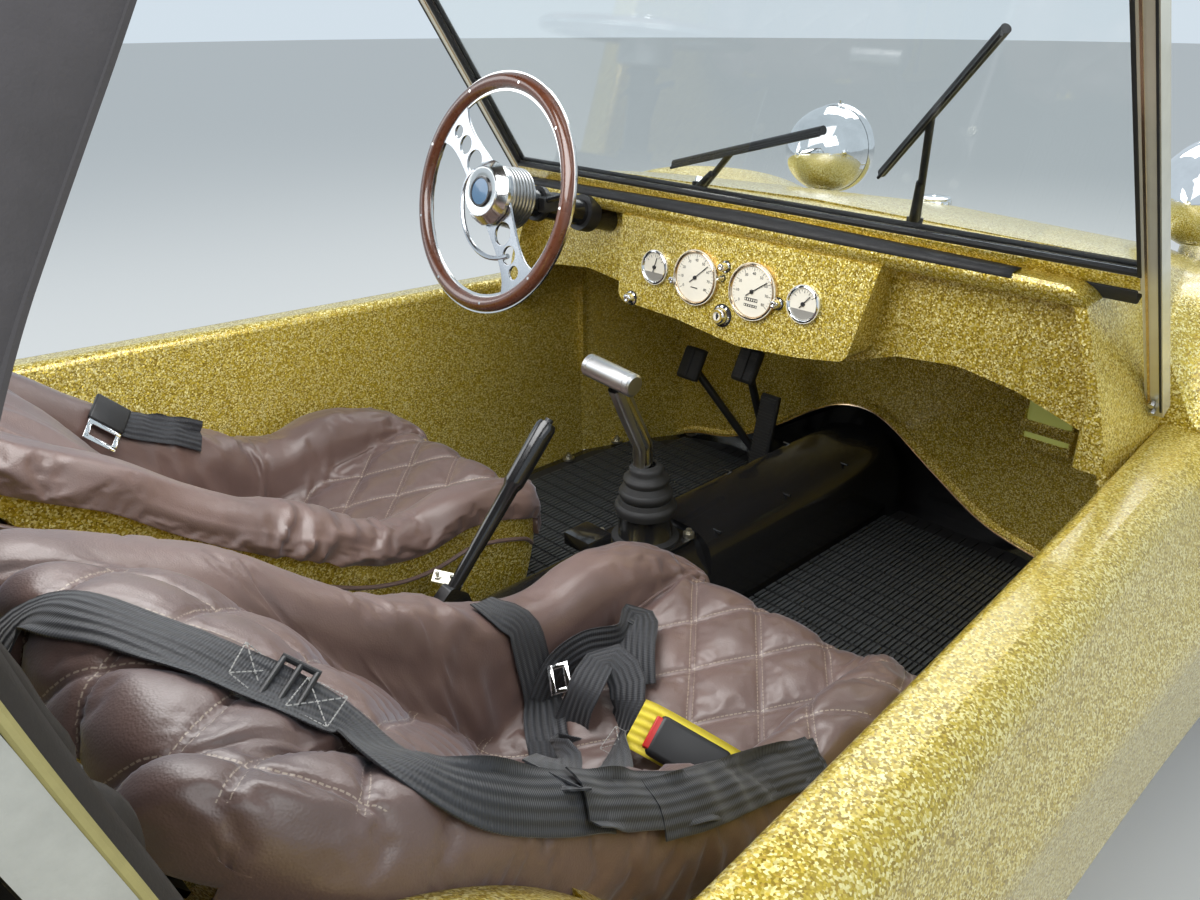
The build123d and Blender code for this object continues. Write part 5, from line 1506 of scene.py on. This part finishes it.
lamps()
smallFittings()
print("lamps and fittings dressed")


# Wheels

# Front and rear wheels: centre's x and y, tyre's radius, tread's half width, blocks round and across
axles = {
    "front": {"x": 1.09, "y": 0.665, "r": 0.305, "half": 0.0735, "round": 60, "across": 5},
    "rear": {"x": -0.942, "y": 0.71, "r": 0.335, "half": 0.0995, "round": 64, "across": 7},
}
nuts = {"count": 5, "circle": 0.056, "valveCircle": 0.15, "valveAngle": radians(62)}


def tread(spec, y):
    bm = bmesh.new()
    x, r, half = spec["x"], spec["r"], spec["half"]
    pitch = 2 * half / spec["across"]
    long = 2 * pi * r / spec["round"] * 0.42
    size = Matrix.Diagonal((pitch * 0.8, long * 2, 0.0085, 1))
    for k in range(spec["round"]):
        for b in range(spec["across"]):
            across = -half + pitch * (b + 0.5)
            a = 2 * pi * (k + (0.5 if b % 2 else 0)) / spec["round"]
            crown = 0.005 * (across / half) ** 2
            # the block's top meets the ground line and its root sits in the carcass
            up = Vector((cos(a), 0, sin(a)))
            spot = Vector((x, y, r)) + up * (r - crown - 0.0045) + Vector((0, across, 0))
            turn = Matrix.Rotation(radians(14 if b % 2 else -14), 4, "Z")
            bmesh.ops.create_cube(bm, size=1, matrix=placeOn(spot, up) @ turn @ size)
    # two raised rings on each sidewall
    for face in (-1, 1):
        for rr, fat in ((r - 0.052, 0.0016), (r - 0.06, 0.001)):
            ring = []
            for k in range(60):
                a = 2 * pi * k / 60
                ring.append((x + rr * cos(a), y + face * (half * 1.25 - 0.0005), r + rr * sin(a)))
            for p, q in zip(ring, ring[1:] + ring[:1]):
                addRod(bm, p, q, fat, 5)
    return bm


def wheelDetails():
    for end, spec in axles.items():
        for hand, side in (("left", 1), ("right", -1)):
            corner = f"{end}_{hand}"
            body = f"wheel_{corner}"
            x, r = spec["x"], spec["r"]
            addPiece(f"tread_{corner}", tread(spec, side * spec["y"]), tyreRubber, body, smooth=30)
            chrome, black = bmesh.new(), bmesh.new()
            low, high = (Vector(c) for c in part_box(f"rim_{corner}"))
            outer = high.y if side > 0 else low.y
            # wheel nuts and a valve: distance along the axle from and to, radius, sides
            for k in range(nuts["count"]):
                a = 2 * pi * (k + 0.25) / nuts["count"]
                spot = Vector((x + nuts["circle"] * cos(a), outer - side * 0.052,
                               r + nuts["circle"] * sin(a)))
                for s0, s1, rr, sides in ((0, 0.018, 0.0105, 6), (0.017, 0.023, 0.0075, 16)):
                    addRod(chrome, spot + Vector((0, side * s0, 0)), spot + Vector((0, side * s1, 0)), rr,
                           sides)
            a, far = nuts["valveAngle"], nuts["valveCircle"]
            valve = Vector((x + far * cos(a), outer - side * 0.03, r + far * sin(a)))
            for bm, s0, s1, rr in ((black, -0.012, 0.016, 0.0042), (chrome, 0.016, 0.024, 0.0046)):
                addRod(bm, valve + Vector((0, side * s0, 0)), valve + Vector((0, side * s1, 0)), rr, 12)
            addPiece(f"nuts_{corner}", chrome, chromePlate, body, smooth=40)
            addPiece(f"valve_{corner}", black, blackRubber, body, smooth=40)


wheelDetails()
print("wheels dressed")


# Soft top: one sheet over the frame, with its seams, window and hems

topCut = {
    # side drop, roof's half width, header and back as lines in x, z, roof's length and hem; a point inside
    "sideDrop": 1.278 - 0.655, "roofHalf": 0.652, "header": ((0, 1.278), (-0.3, 1.33)), "roof": 0.685,
    "back": ((-0.985, 1.31), (-1.158, 0.655)), "hem": 0.05, "middle": (-0.5, 0, 0.9), "thick": 0.0016,
}


def topSkin(bm):
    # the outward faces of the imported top, which is a closed shell
    tree = BVHTree.FromBMesh(bm)
    skin = set()
    for f in bm.faces:
        centre, normal = f.calc_center_median(), f.normal
        outward = tree.ray_cast(centre + normal * 1e-3, normal)[0]
        inward = tree.ray_cast(centre - normal * 1e-4, -normal)[3]
        away = (centre - Vector(topCut["middle"])).dot(normal) > 0
        if away and outward is None and inward is not None and inward < 0.012:
            skin.add(f)
    bmesh.ops.delete(bm, geom=[f for f in bm.faces if f not in skin], context="FACES")


def topSheet():
    bm = bmesh.new()
    bm.from_mesh(nodes["soft_top"].data)
    bmesh.ops.remove_doubles(bm, verts=bm.verts, dist=1e-5)
    topSkin(bm)
    for _ in range(7):
        long = [e for e in bm.edges if e.calc_length() > 0.045]
        if not long:
            break
        bmesh.ops.subdivide_edges(bm, edges=long, cuts=1)
        bmesh.ops.triangulate(bm, faces=bm.faces, quad_method="BEAUTY", ngon_method="BEAUTY")
    bmesh.ops.beautify_fill(bm, faces=bm.faces, edges=[e for e in bm.edges if not e.is_boundary])
    bm.normal_update()
    moves = []
    for v in bm.verts:
        x, y, z = v.co
        # sags a little between the bows, with slack in long and short waves
        start = -0.02 if x > -0.48 else -0.48
        bay = sin(pi * min(max((x - start) / -0.46, 0), 1))
        sag = 0.009 * bay * (1 - min(abs(y) / 0.56, 1) ** 2) if z > 1.24 else 0
        pull = noiseAt(Vector((x * 3.2, y * 5.5, z * 2.2)))
        fine = noiseAt(Vector((x * 15, y * 11, z * 6 + 4)))
        slack = 0.0045 * pull + 0.0014 * fine
        if v.is_boundary:
            slack *= 0.25
        moves.append((v, v.normal * (slack - sag - 0.001)))
    for v, move in moves:
        v.co += move
    area = sum(f.calc_area() for f in bm.faces)
    print(f"top cloth area {area:.4f}")
    piece = addPiece("soft_top_cloth", bm, topCloth, smooth=180)
    wall = piece.modifiers.new("cloth", "SOLIDIFY")
    wall.thickness = topCut["thick"]
    wall.offset = -1
    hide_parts("soft_top")
    return piece


# Lays a grid of points on the tree along a direction and gives it a little thickness
def patch(name, tree, rows, way, lift, material, thick):
    bm = bmesh.new()
    way = Vector(way).normalized()
    grid = []
    for line in rows:
        made = []
        for place in line:
            hit, normal, _, _ = tree.ray_cast(Vector(place) - way * 0.3, way)
            if hit is None:
                hit, normal = Vector(place), -way
            if normal.dot(way) > 0:
                normal = -normal
            made.append(bm.verts.new(hit + normal * lift))
        grid.append(made)
    skinRows(bm, grid)
    piece = addPiece(name, bm, material, smooth=60)
    wall = piece.modifiers.new("wall", "SOLIDIFY")
    wall.thickness = thick
    wall.offset = 1


def scuttleRubber():
    # flat rubber on the scuttle's shelf, below the screen's rail on the cabin side
    rows = []
    for k in range(5):
        t = k / 4
        rows.append([(0.238 - 0.023 * t, -0.415 + 0.9 * j / 60, 0.853 - 0.012 * t) for j in range(61)])
    patch("scuttle_rubber", treeOf([nodes["bonnet"]]), rows, (0.5, 0, -0.85), 0.0012, blackRubber,
          0.002)


# A raised seam along points laid on the tree from above
def seamOn(name, tree, points, r, material):
    out = []
    way = Vector((0, 0, -1))
    for place in points:
        hit = tree.ray_cast(Vector(place) - way * 0.3, way)[0]
        out.append(tuple(hit if hit is not None else Vector(place)))
    tubeAlong(name, out, r, material, sides=6)


# x and z of the hem cord, over the door opening and down the quarter's front edge
hemLine = [(-0.1, 1.224), (-0.3, 1.229), (-0.55, 1.234), (-0.74, 1.238), (-0.8, 1.232), (-0.842, 1.159),
           (-0.871, 1.112), (-0.9, 1.064), (-0.928, 1), (-0.946, 0.945), (-0.951, 0.8), (-0.955, 0.7)]


def topDetails(cloth):
    tree = treeOf([cloth])
    seamCloth = plainFinish("seamCloth", (0.095, 0.085, 0.086), 0.9, 70, 0.5)
    clearFilm = newMaterial("clearFilm", {"Base Color": (0.6, 0.62, 0.6, 1), "Roughness": 0.06, "Alpha": 0.42,
                                          "Specular IOR Level": 0.6, "Coat Weight": 0.5})
    for i, y in enumerate((-0.3, 0.3)):
        seamOn(f"top_seam_{i}", tree, [(x / 100, y, 1.32) for x in range(-4, -98, -5)], 0.0022, seamCloth)
    for i, x in enumerate((-0.48, -0.93)):
        seamOn(f"top_bow_seam_{i}", tree, [(x, y / 100, 1.32) for y in range(-54, 55, 6)], 0.0024, seamCloth)
    # rear window of clear film and the band sewn round it
    ahead = (1, 0, 0)
    zs = [0.8 + 0.03 * k for k in range(12)]
    ys = [-0.36 + 0.04 * k for k in range(19)]
    patch("top_window", tree, [[(-1.1, y, z) for y in ys] for z in zs], ahead, 0.0016, clearFilm,
          0.0008)
    wide, lap = 0.026, 0.002
    # z from and to, y from and to, parts across, parts up
    bands = {"low": (zs[0] - wide, zs[0] + lap, ys[0] - wide, ys[-1] + wide, 24, 2),
             "high": (zs[-1] - lap, zs[-1] + wide, ys[0] - wide, ys[-1] + wide, 24, 2),
             "left": (zs[0], zs[-1], ys[-1] - lap, ys[-1] + wide, 2, 14),
             "right": (zs[0], zs[-1], ys[0] - wide, ys[0] + lap, 2, 14)}
    for name, (z0, z1, y0, y1, many, few) in bands.items():
        rows = [[(-1.1, y0 + (y1 - y0) * i / many, z0 + (z1 - z0) * j / few) for i in range(many + 1)]
                for j in range(few + 1)]
        patch(f"top_window_band_{name}", tree, rows, ahead, 0.0022, seamCloth, 0.0012)
    # turn buttons along the rear hem
    studs = bmesh.new()
    for k in range(9):
        hit, normal, _, _ = tree.ray_cast(Vector((-1.5, -0.52 + 0.13 * k, 0.676)), Vector(ahead))
        if hit is not None:
            normal = -normal if normal.x > 0 else normal
            addRod(studs, hit, hit + normal * 0.0045, 0.0075, 16)
            addRod(studs, hit + normal * 0.004, hit + normal * 0.0065, 0.0035, 10)
    addPiece("top_studs", studs, chromePlate, smooth=40)
    for side in (-1, 1):
        pts = [(x, side * (0.592 + (1.33 - z) / (1.33 - 0.655) * 0.06 - 0.003), z) for x, z in hemLine]
        tubeAlong(f"top_hem_{'left' if side > 0 else 'right'}", pts, 0.003, seamCloth)


scuttleRubber()
topDetails(topSheet())


# Hoop sleeve, rolled side curtain and the belt reels

# x, distance from the middle, z up the hoop, and up the curtain that is rolled inside it
hoopLine = [(-0.882, 0.621, 0.752), (-0.905, 0.614, 0.84), (-0.93, 0.605, 0.93), (-0.944, 0.597, 1),
            (-0.942, 0.588, 1.08)]
curtainLine = [(-0.905, 0.555, 0.8), (-0.935, 0.548, 0.9), (-0.952, 0.54, 1), (-0.955, 0.532, 1.09)]
curtain = {"rows": 40, "sides": 22, "radius": 0.034, "flat": 0.85, "straps": (9, 30)}


def hoopX(z):
    return -0.882 - (z - 0.752) / (1 - 0.752) * 0.062


def hoopSleeve(side, label, darkCloth, skyLitCloth, yellowEdge):
    line = [(x, side * y, z) for x, y, z in hoopLine]
    tubeAlong(f"hoop_sleeve_{label}", line, 0.0195, darkCloth, sides=20)
    out = Vector((-0.15, side * 0.66, 0.74)).normalized()
    strip, edge = [], []
    for i, place in enumerate(line):
        way = Vector(line[min(i + 1, 4)]) - Vector(line[max(i - 1, 0)])
        flat = (out - way * (out.dot(way) / way.length_squared)).normalized()
        across = flat.cross(way).normalized()
        across = across if across.x > 0 else -across
        strip.append((*(Vector(place) + flat * 0.018 - across * 0.004), *flat))
        edge.append(tuple(Vector(place) + flat * 0.0195 + across * 0.01))
    # painted highlight: the pale strip along the sleeve's outward face is painted sky light on the dark cloth
    ribbon(f"hoop_strip_{label}", strip, skyLitCloth, None, 0.024, 0.002, 30, ribs=2)
    tubeAlong(f"hoop_piping_{label}", edge, 0.0028, yellowEdge)


def curtainRoll(side, label, darkCloth):
    # the side curtain, rolled and strapped inside the hoop
    bm, straps = bmesh.new(), bmesh.new()
    count, ring = curtain["rows"], curtain["sides"]
    centre = smoothLine([(x, side * y, z) for x, y, z in curtainLine], count)
    rows = []
    for i, place in enumerate(centre):
        a, b = centre[max(i - 1, 0)], centre[min(i + 1, count - 1)]
        matrix = placeOn(place, Vector(b) - Vector(a), (1, 0, 0))
        pinch = 1 - 0.22 * max(exp(-((i - at) / 1.8) ** 2) for at in curtain["straps"])
        end = 0.55 + 0.45 * sin(pi * min(i, count - 1 - i, 6) / 12)
        line = []
        for k in range(ring):
            t = 2 * pi * k / ring
            fold = 1 + 0.1 * cos(3 * t + i * 0.12) + 0.05 * noiseAt(Vector((i * 0.25, k * 0.8, side)))
            r = curtain["radius"] * pinch * end * fold
            line.append(bm.verts.new(matrix @ Vector((r * cos(t), r * sin(t) * curtain["flat"], 0))))
        rows.append(line)
    skinRows(bm, rows, closed=True)
    for line in (rows[0], rows[-1]):
        bm.faces.new(line)
    roll = addPiece(f"curtain_roll_{label}", bm, darkCloth, smooth=80)
    for i in curtain["straps"]:
        a = Vector(centre[i])
        addRod(straps, a, (hoopX(a.z), side * 0.602, a.z), 0.0055, 10)
        matrix = placeOn(a, Vector(centre[i + 1]) - Vector(centre[i - 1]), (1, 0, 0))
        for k in range(24):
            ends = [matrix @ Vector((0.0285 * cos(t), 0.0285 * 0.85 * sin(t), 0))
                    for t in (2 * pi * k / 24, 2 * pi * (k + 1) / 24)]
            addRod(straps, *ends, 0.003, 6)
    addPiece(f"curtain_straps_{label}", straps, blackSatin)


def hoopDressing():
    # the pale cloth is a painted highlight, the sky-lit outer face of the dark sleeve
    skyLitCloth = plainFinish("skyLitCloth", (0.5, 0.49, 0.44), 0.75, 50, 0.4)
    yellowEdge = plainFinish("yellowEdge", (0.42, 0.36, 0.14), 0.6, 50, 0.4)
    darkCloth = plainFinish("darkCloth", (0.03, 0.024, 0.02), 0.7, 40, 0.8)
    for side, label in ((-1, "right"), (1, "left")):
        hoopSleeve(side, label, darkCloth, skyLitCloth, yellowEdge)
        curtainRoll(side, label, darkCloth)


def reelDetails():
    black, plates, chrome = bmesh.new(), bmesh.new(), bmesh.new()
    face = Vector((0.8, 0, 0.6)).normalized()
    for side, label in ((-1, "right"), (1, "left")):
        front = Vector((-0.829, side * 0.3, 0.6)) + face * 0.036
        addLathe(black, [(-0.004, 0.058), (0.004, 0.059), (0.007, 0.055), (0.007, 0.048), (-0.01, 0.044)],
                 front, face, 48)
        matrix = placeOn(front, face)
        localBox(plates, matrix, (-0.03, -0.026, -0.004), (0.012, -0.014, 0.01), 0.002)
        localBox(plates, matrix, (-0.034, 0.012, -0.004), (0.022, 0.024, 0.006), 0.002)
        localBox(plates, matrix, (0.016, -0.024, 0), (0.021, 0.018, 0.018), 0.001)
        addRod(black, matrix @ Vector((-0.028, 0, 0.004)), matrix @ Vector((0.026, 0, 0.004)), 0.018, 24)
        addLathe(chrome, [(0, 0.0075), (0.004, 0.0075), (0.0045, 0.0001)],
                 matrix @ Vector((0.03, 0.03, 0.006)), face, 6)
        up = [(-0.004 + 0.01 * t, 0.016 + 0.045 * t, 0.012 - 0.006 * t) for t in (0, 0.5, 1, 1.6, 2.4)]
        down = [(0, -0.012, 0.014), (0.004, -0.05, 0.016), (0.01, -0.1, 0.012), (0.018, -0.16, 0.006)]
        for name, line, finish, lift, samples in (("reel_webbing", up, yellowWebbing, 0, 24),
                                                  ("reel_strap", down, blackWebbing, 0.002, 30)):
            path = [(*(matrix @ Vector(p)), *face) for p in line]
            ribbon(f"{name}_{label}", path, finish, None, 0.046, lift, samples)
        # small corner bracket beside the reel
        inner, outer = side * 0.452 - 0.003, side * 0.452 + 0.003
        addBox(chrome, (-0.845, inner, 0.628), (-0.8, outer, 0.632))
        addBox(chrome, (-0.804, inner, 0.6), (-0.8, outer, 0.632))
    addPiece("reel_covers", black, blackSatin, smooth=45)
    addPiece("reel_plates", plates, satinAlloy)
    addPiece("reel_bolts", chrome, chromePlate)


hoopDressing()
reelDetails()
print("soft top and reels dressed")


# Engine and lamps behind

pulleys = {"crank": {"z": 0.36, "r": 0.075, "belt": 0.071},
           "dynamo": {"rise": 0.115, "r": 0.052, "belt": 0.048}}


def tailLamps():
    chrome, red = bmesh.new(), bmesh.new()
    low, high = (Vector(c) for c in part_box("tail_lamps"))
    x, z = low.x, (low.z + high.z) / 2
    r = min((high.z - low.z) / 2, 0.05)
    for side in (-1, 1):
        y = side * (high.y - 0.05)
        addLathe(chrome, [(0, r + 0.001), (-0.004, r + 0.003), (-0.01, r + 0.001), (-0.0125, r - 0.006)],
                 (x + 0.012, y, z), (1, 0, 0), 48)
        addLathe(red, [(0, r - 0.004), (-0.003, r * 0.8), (-0.006, r * 0.45), (-0.007, 0.0002)],
                 (x + 0.002, y, z), (1, 0, 0), 40)
        for k in range(1, 5):
            ring = r * k / 5.5
            addLathe(red, [(-0.0008, ring + 0.001), (-0.0022, ring), (-0.0008, ring - 0.001)],
                     (x - 0.0052 + 0.0045 * (k / 5) ** 2, y, z), (1, 0, 0), 40)
    addPiece("tail_rims", chrome, chromePlate, smooth=45)
    addPiece("tail_lenses", red, redLens, smooth=50)


def tailDetails():
    tailLamps()
    black, alloy = bmesh.new(), bmesh.new()
    # crank pulley, dynamo pulley and the belt between them
    low, high = (Vector(c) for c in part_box("engine"))
    shroud = Vector(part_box("fan_shroud")[0])
    x = low.x + 0.012
    crank, dynamo = pulleys["crank"], pulleys["dynamo"]
    top = shroud.z + dynamo["rise"]
    for z, r in ((crank["z"], crank["r"]), (top, dynamo["r"])):
        addLathe(alloy, [(-0.012, r * 0.3), (-0.012, r - 0.003), (-0.01, r), (-0.006, r), (-0.003, r - 0.007),
                         (0.003, r - 0.007), (0.006, r), (0.01, r), (0.012, r - 0.003)], (x, 0, z), (1, 0, 0),
                 48)
        addRod(alloy, (x - 0.02, 0, z), (x + 0.05, 0, z), r * 0.32, 24)
        addRod(alloy, (x - 0.028, 0, z), (x - 0.018, 0, z), 0.013, 6)
    belt = []
    for z, r, start in ((crank["z"], crank["belt"], pi), (top, dynamo["belt"], 0)):
        for k in range(17):
            a = start + pi * k / 16
            belt.append((x, r * cos(a), z + r * sin(a)))
    tubeAlong("engine_belt", belt, 0.0052, blackRubber, sides=6, kind="POLY",
              cyclic=True)
    # bolts round the rocker covers
    for side in (-1, 1):
        y = side * (high.y - 0.004)
        for z in (0.36, 0.42):
            for xx in (low.x + 0.09, (low.x + high.x) / 2, high.x - 0.09):
                addRod(alloy, (xx, y - side * 0.006, z), (xx, y + side * 0.004, z), 0.006, 6)
    addPiece("engine_pulleys", alloy, castAlloy, smooth=40)
    for k in range(4):
        z, half = shroud.z + 0.07 + 0.045 * k, 0.2 - 0.02 * k
        addRod(black, (shroud.x - 0.0015, -half, z), (shroud.x - 0.0015, half, z), 0.003, 8)
    addPiece("shroud_ribs", black, blackGloss, smooth=40)


tailDetails()
print("tail and engine dressed")


# Spokes that replace the plain ones

def flatPlate(name, matrix, outline, holes, thick):
    curve = bpy.data.curves.new(name, "CURVE")
    curve.dimensions = "2D"
    curve.fill_mode = "BOTH"
    curve.extrude = thick / 2
    curve.bevel_depth = 0.0008
    curve.bevel_resolution = 1
    for ring in [outline] + holes:
        spline = curve.splines.new("POLY")
        spline.points.add(len(ring) - 1)
        for p, (x, y) in zip(spline.points, ring):
            p.co = (x, y, 0, 1)
        spline.use_cyclic_u = True
    mesh = meshOfCurve(name, curve)
    mesh.transform(matrix)
    return mesh


spoke = {
    "angles": (322, 128), "thick": 0.003,
    # distance from the hub, half width
    "side": [(0.03, 0.031), (0.055, 0.0285), (0.085, 0.0255), (0.11, 0.0245), (0.135, 0.0285),
             (0.1565, 0.04)],
    # distance from the hub, radius
    "holes": [(0.07, 0.0185), (0.1075, 0.015), (0.137, 0.011)],
    # horn ring: angle, radius
    "loop": [(330, 0.06), (345, 0.07), (5, 0.0735), (25, 0.0765), (50, 0.083), (75, 0.0905), (98, 0.098),
             (118, 0.104), (126, 0.106)],
}


def wheelSpokes():
    matrix = wheelPlace()
    bm = bmesh.new()
    edge = [(x, y) for x, y, _ in smoothLine([(x, y, 0) for x, y in spoke["side"]], 24)]
    outline = edge + [(x, -y) for x, y in reversed(edge)]
    holes = []
    for at, r in spoke["holes"]:
        holes.append([(at + r * cos(2 * pi * k / 32), r * sin(2 * pi * k / 32)) for k in range(32)])
    for angle in spoke["angles"]:
        turn = Matrix.Rotation(radians(angle), 4, "Z")
        joinMesh(bm, flatPlate("spoke", matrix @ turn, outline, holes, spoke["thick"]))
    ringAt(bm, matrix, [(-0.003, 0.012), (-0.003, 0.046), (0.003, 0.046), (0.01, 0.041), (0.01, 0.012)], 48)
    addRod(bm, downColumn(0.004), downColumn(0.11), 0.0098, 24)
    piece = addPiece("wheel_spokes", bm, spokeAlloy, "steering_wheel", smooth=40)
    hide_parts("steering_wheel_spokes")
    pts = []
    for angle, r in spoke["loop"]:
        a = radians(angle)
        pts.append(tuple(matrix @ Vector((r * cos(a), r * sin(a), 0))))
    tubeAlong("wheel_loop", pts, 0.004, spokeAlloy, "steering_wheel", sides=10)


wheelSpokes()


hood = {"startX": 0.088, "step": 0.025, "rows": 22, "count": 20, "half": 0.0805, "foot": 0.33, "rise": 0.066,
        "square": 0.62}


# Rounded cover of the tunnel ahead of the lever
def tunnelHood():
    bm = bmesh.new()
    rows = []
    for i in range(hood["rows"]):
        x = hood["startX"] + hood["step"] * i
        line = []
        for k in range(hood["count"] + 1):
            a = pi * k / hood["count"]
            y = hood["half"] * copysign(abs(cos(a)) ** hood["square"], cos(a))
            line.append(bm.verts.new((x, y, hood["foot"] + hood["rise"] * sin(a) ** hood["square"])))
        rows.append(line)
    skinRows(bm, rows)
    bm.faces.new(rows[0])
    addPiece("tunnel_hood", bm, blackGloss, smooth=50)


tunnelHood()
print("wheel and tunnel finished")


# Floor, light and camera

# name, place, aim, size, power
lightTable = [("skyLamp", (-1.2, -1, 4.6), (0, 0, 0.5), 4, 50),
              ("frontLamp", (3.6, 1.2, 3.4), (0.4, 0, 0.6), 2.4, 60),
              ("sideLamp", (-2.4, 3.4, 2.8), (0, 0, 0.6), 2.4, 50),
              ("doorLamp", (-0.35, -2.3, 2.7), (-0.05, 0.25, 0.55), 1.6, 22),
              ("cabinLamp", (-0.42, 0, 1.22), (-0.3, 0, 0.5), 0.6, 9)]


def makeStage():
    scene = bpy.context.scene
    bm = bmesh.new()
    bmesh.ops.create_circle(bm, cap_ends=True, segments=64, radius=26)
    mesh = bpy.data.meshes.new("floor")
    bm.to_mesh(mesh)
    bm.free()
    floor = bpy.data.objects.new("floor", mesh)
    scene.collection.objects.link(floor)
    mesh.materials.append(newMaterial("paleFloor", {"Base Color": (0.62, 0.61, 0.59, 1), "Roughness": 0.9}))
    world = scene.world or bpy.data.worlds.new("studio")
    scene.world = world
    world.use_nodes = True
    background = world.node_tree.nodes["Background"]
    background.inputs["Color"].default_value = (0.8, 0.91, 1, 1)
    background.inputs["Strength"].default_value = 0.82
    for name, place, aim, size, power in lightTable:
        light = bpy.data.lights.new(name, "AREA")
        light.size = size
        light.energy = power
        holder = bpy.data.objects.new(name, light)
        holder.location = place
        holder.visible_camera = False
        holder.rotation_euler = (Vector(aim) - Vector(place)).to_track_quat("-Z", "Y").to_euler()
        scene.collection.objects.link(holder)


def makeCamera():
    forward, right, upward = cameraAxes()
    camera = bpy.data.cameras.new("photoCamera")
    camera.lens = view["lens"]
    camera.sensor_width = photo["sensor"]
    camera.clip_start = 0.01
    holder = bpy.data.objects.new("photoCamera", camera)
    holder.matrix_world = Matrix.Translation(view["place"]) @ Matrix((right, upward,
            -forward)).transposed().to_4x4()
    bpy.context.scene.collection.objects.link(holder)
    bpy.context.scene.camera = holder


makeStage()
makeCamera()
bpy.context.scene.view_settings.view_transform = "Standard"
print("stage set")
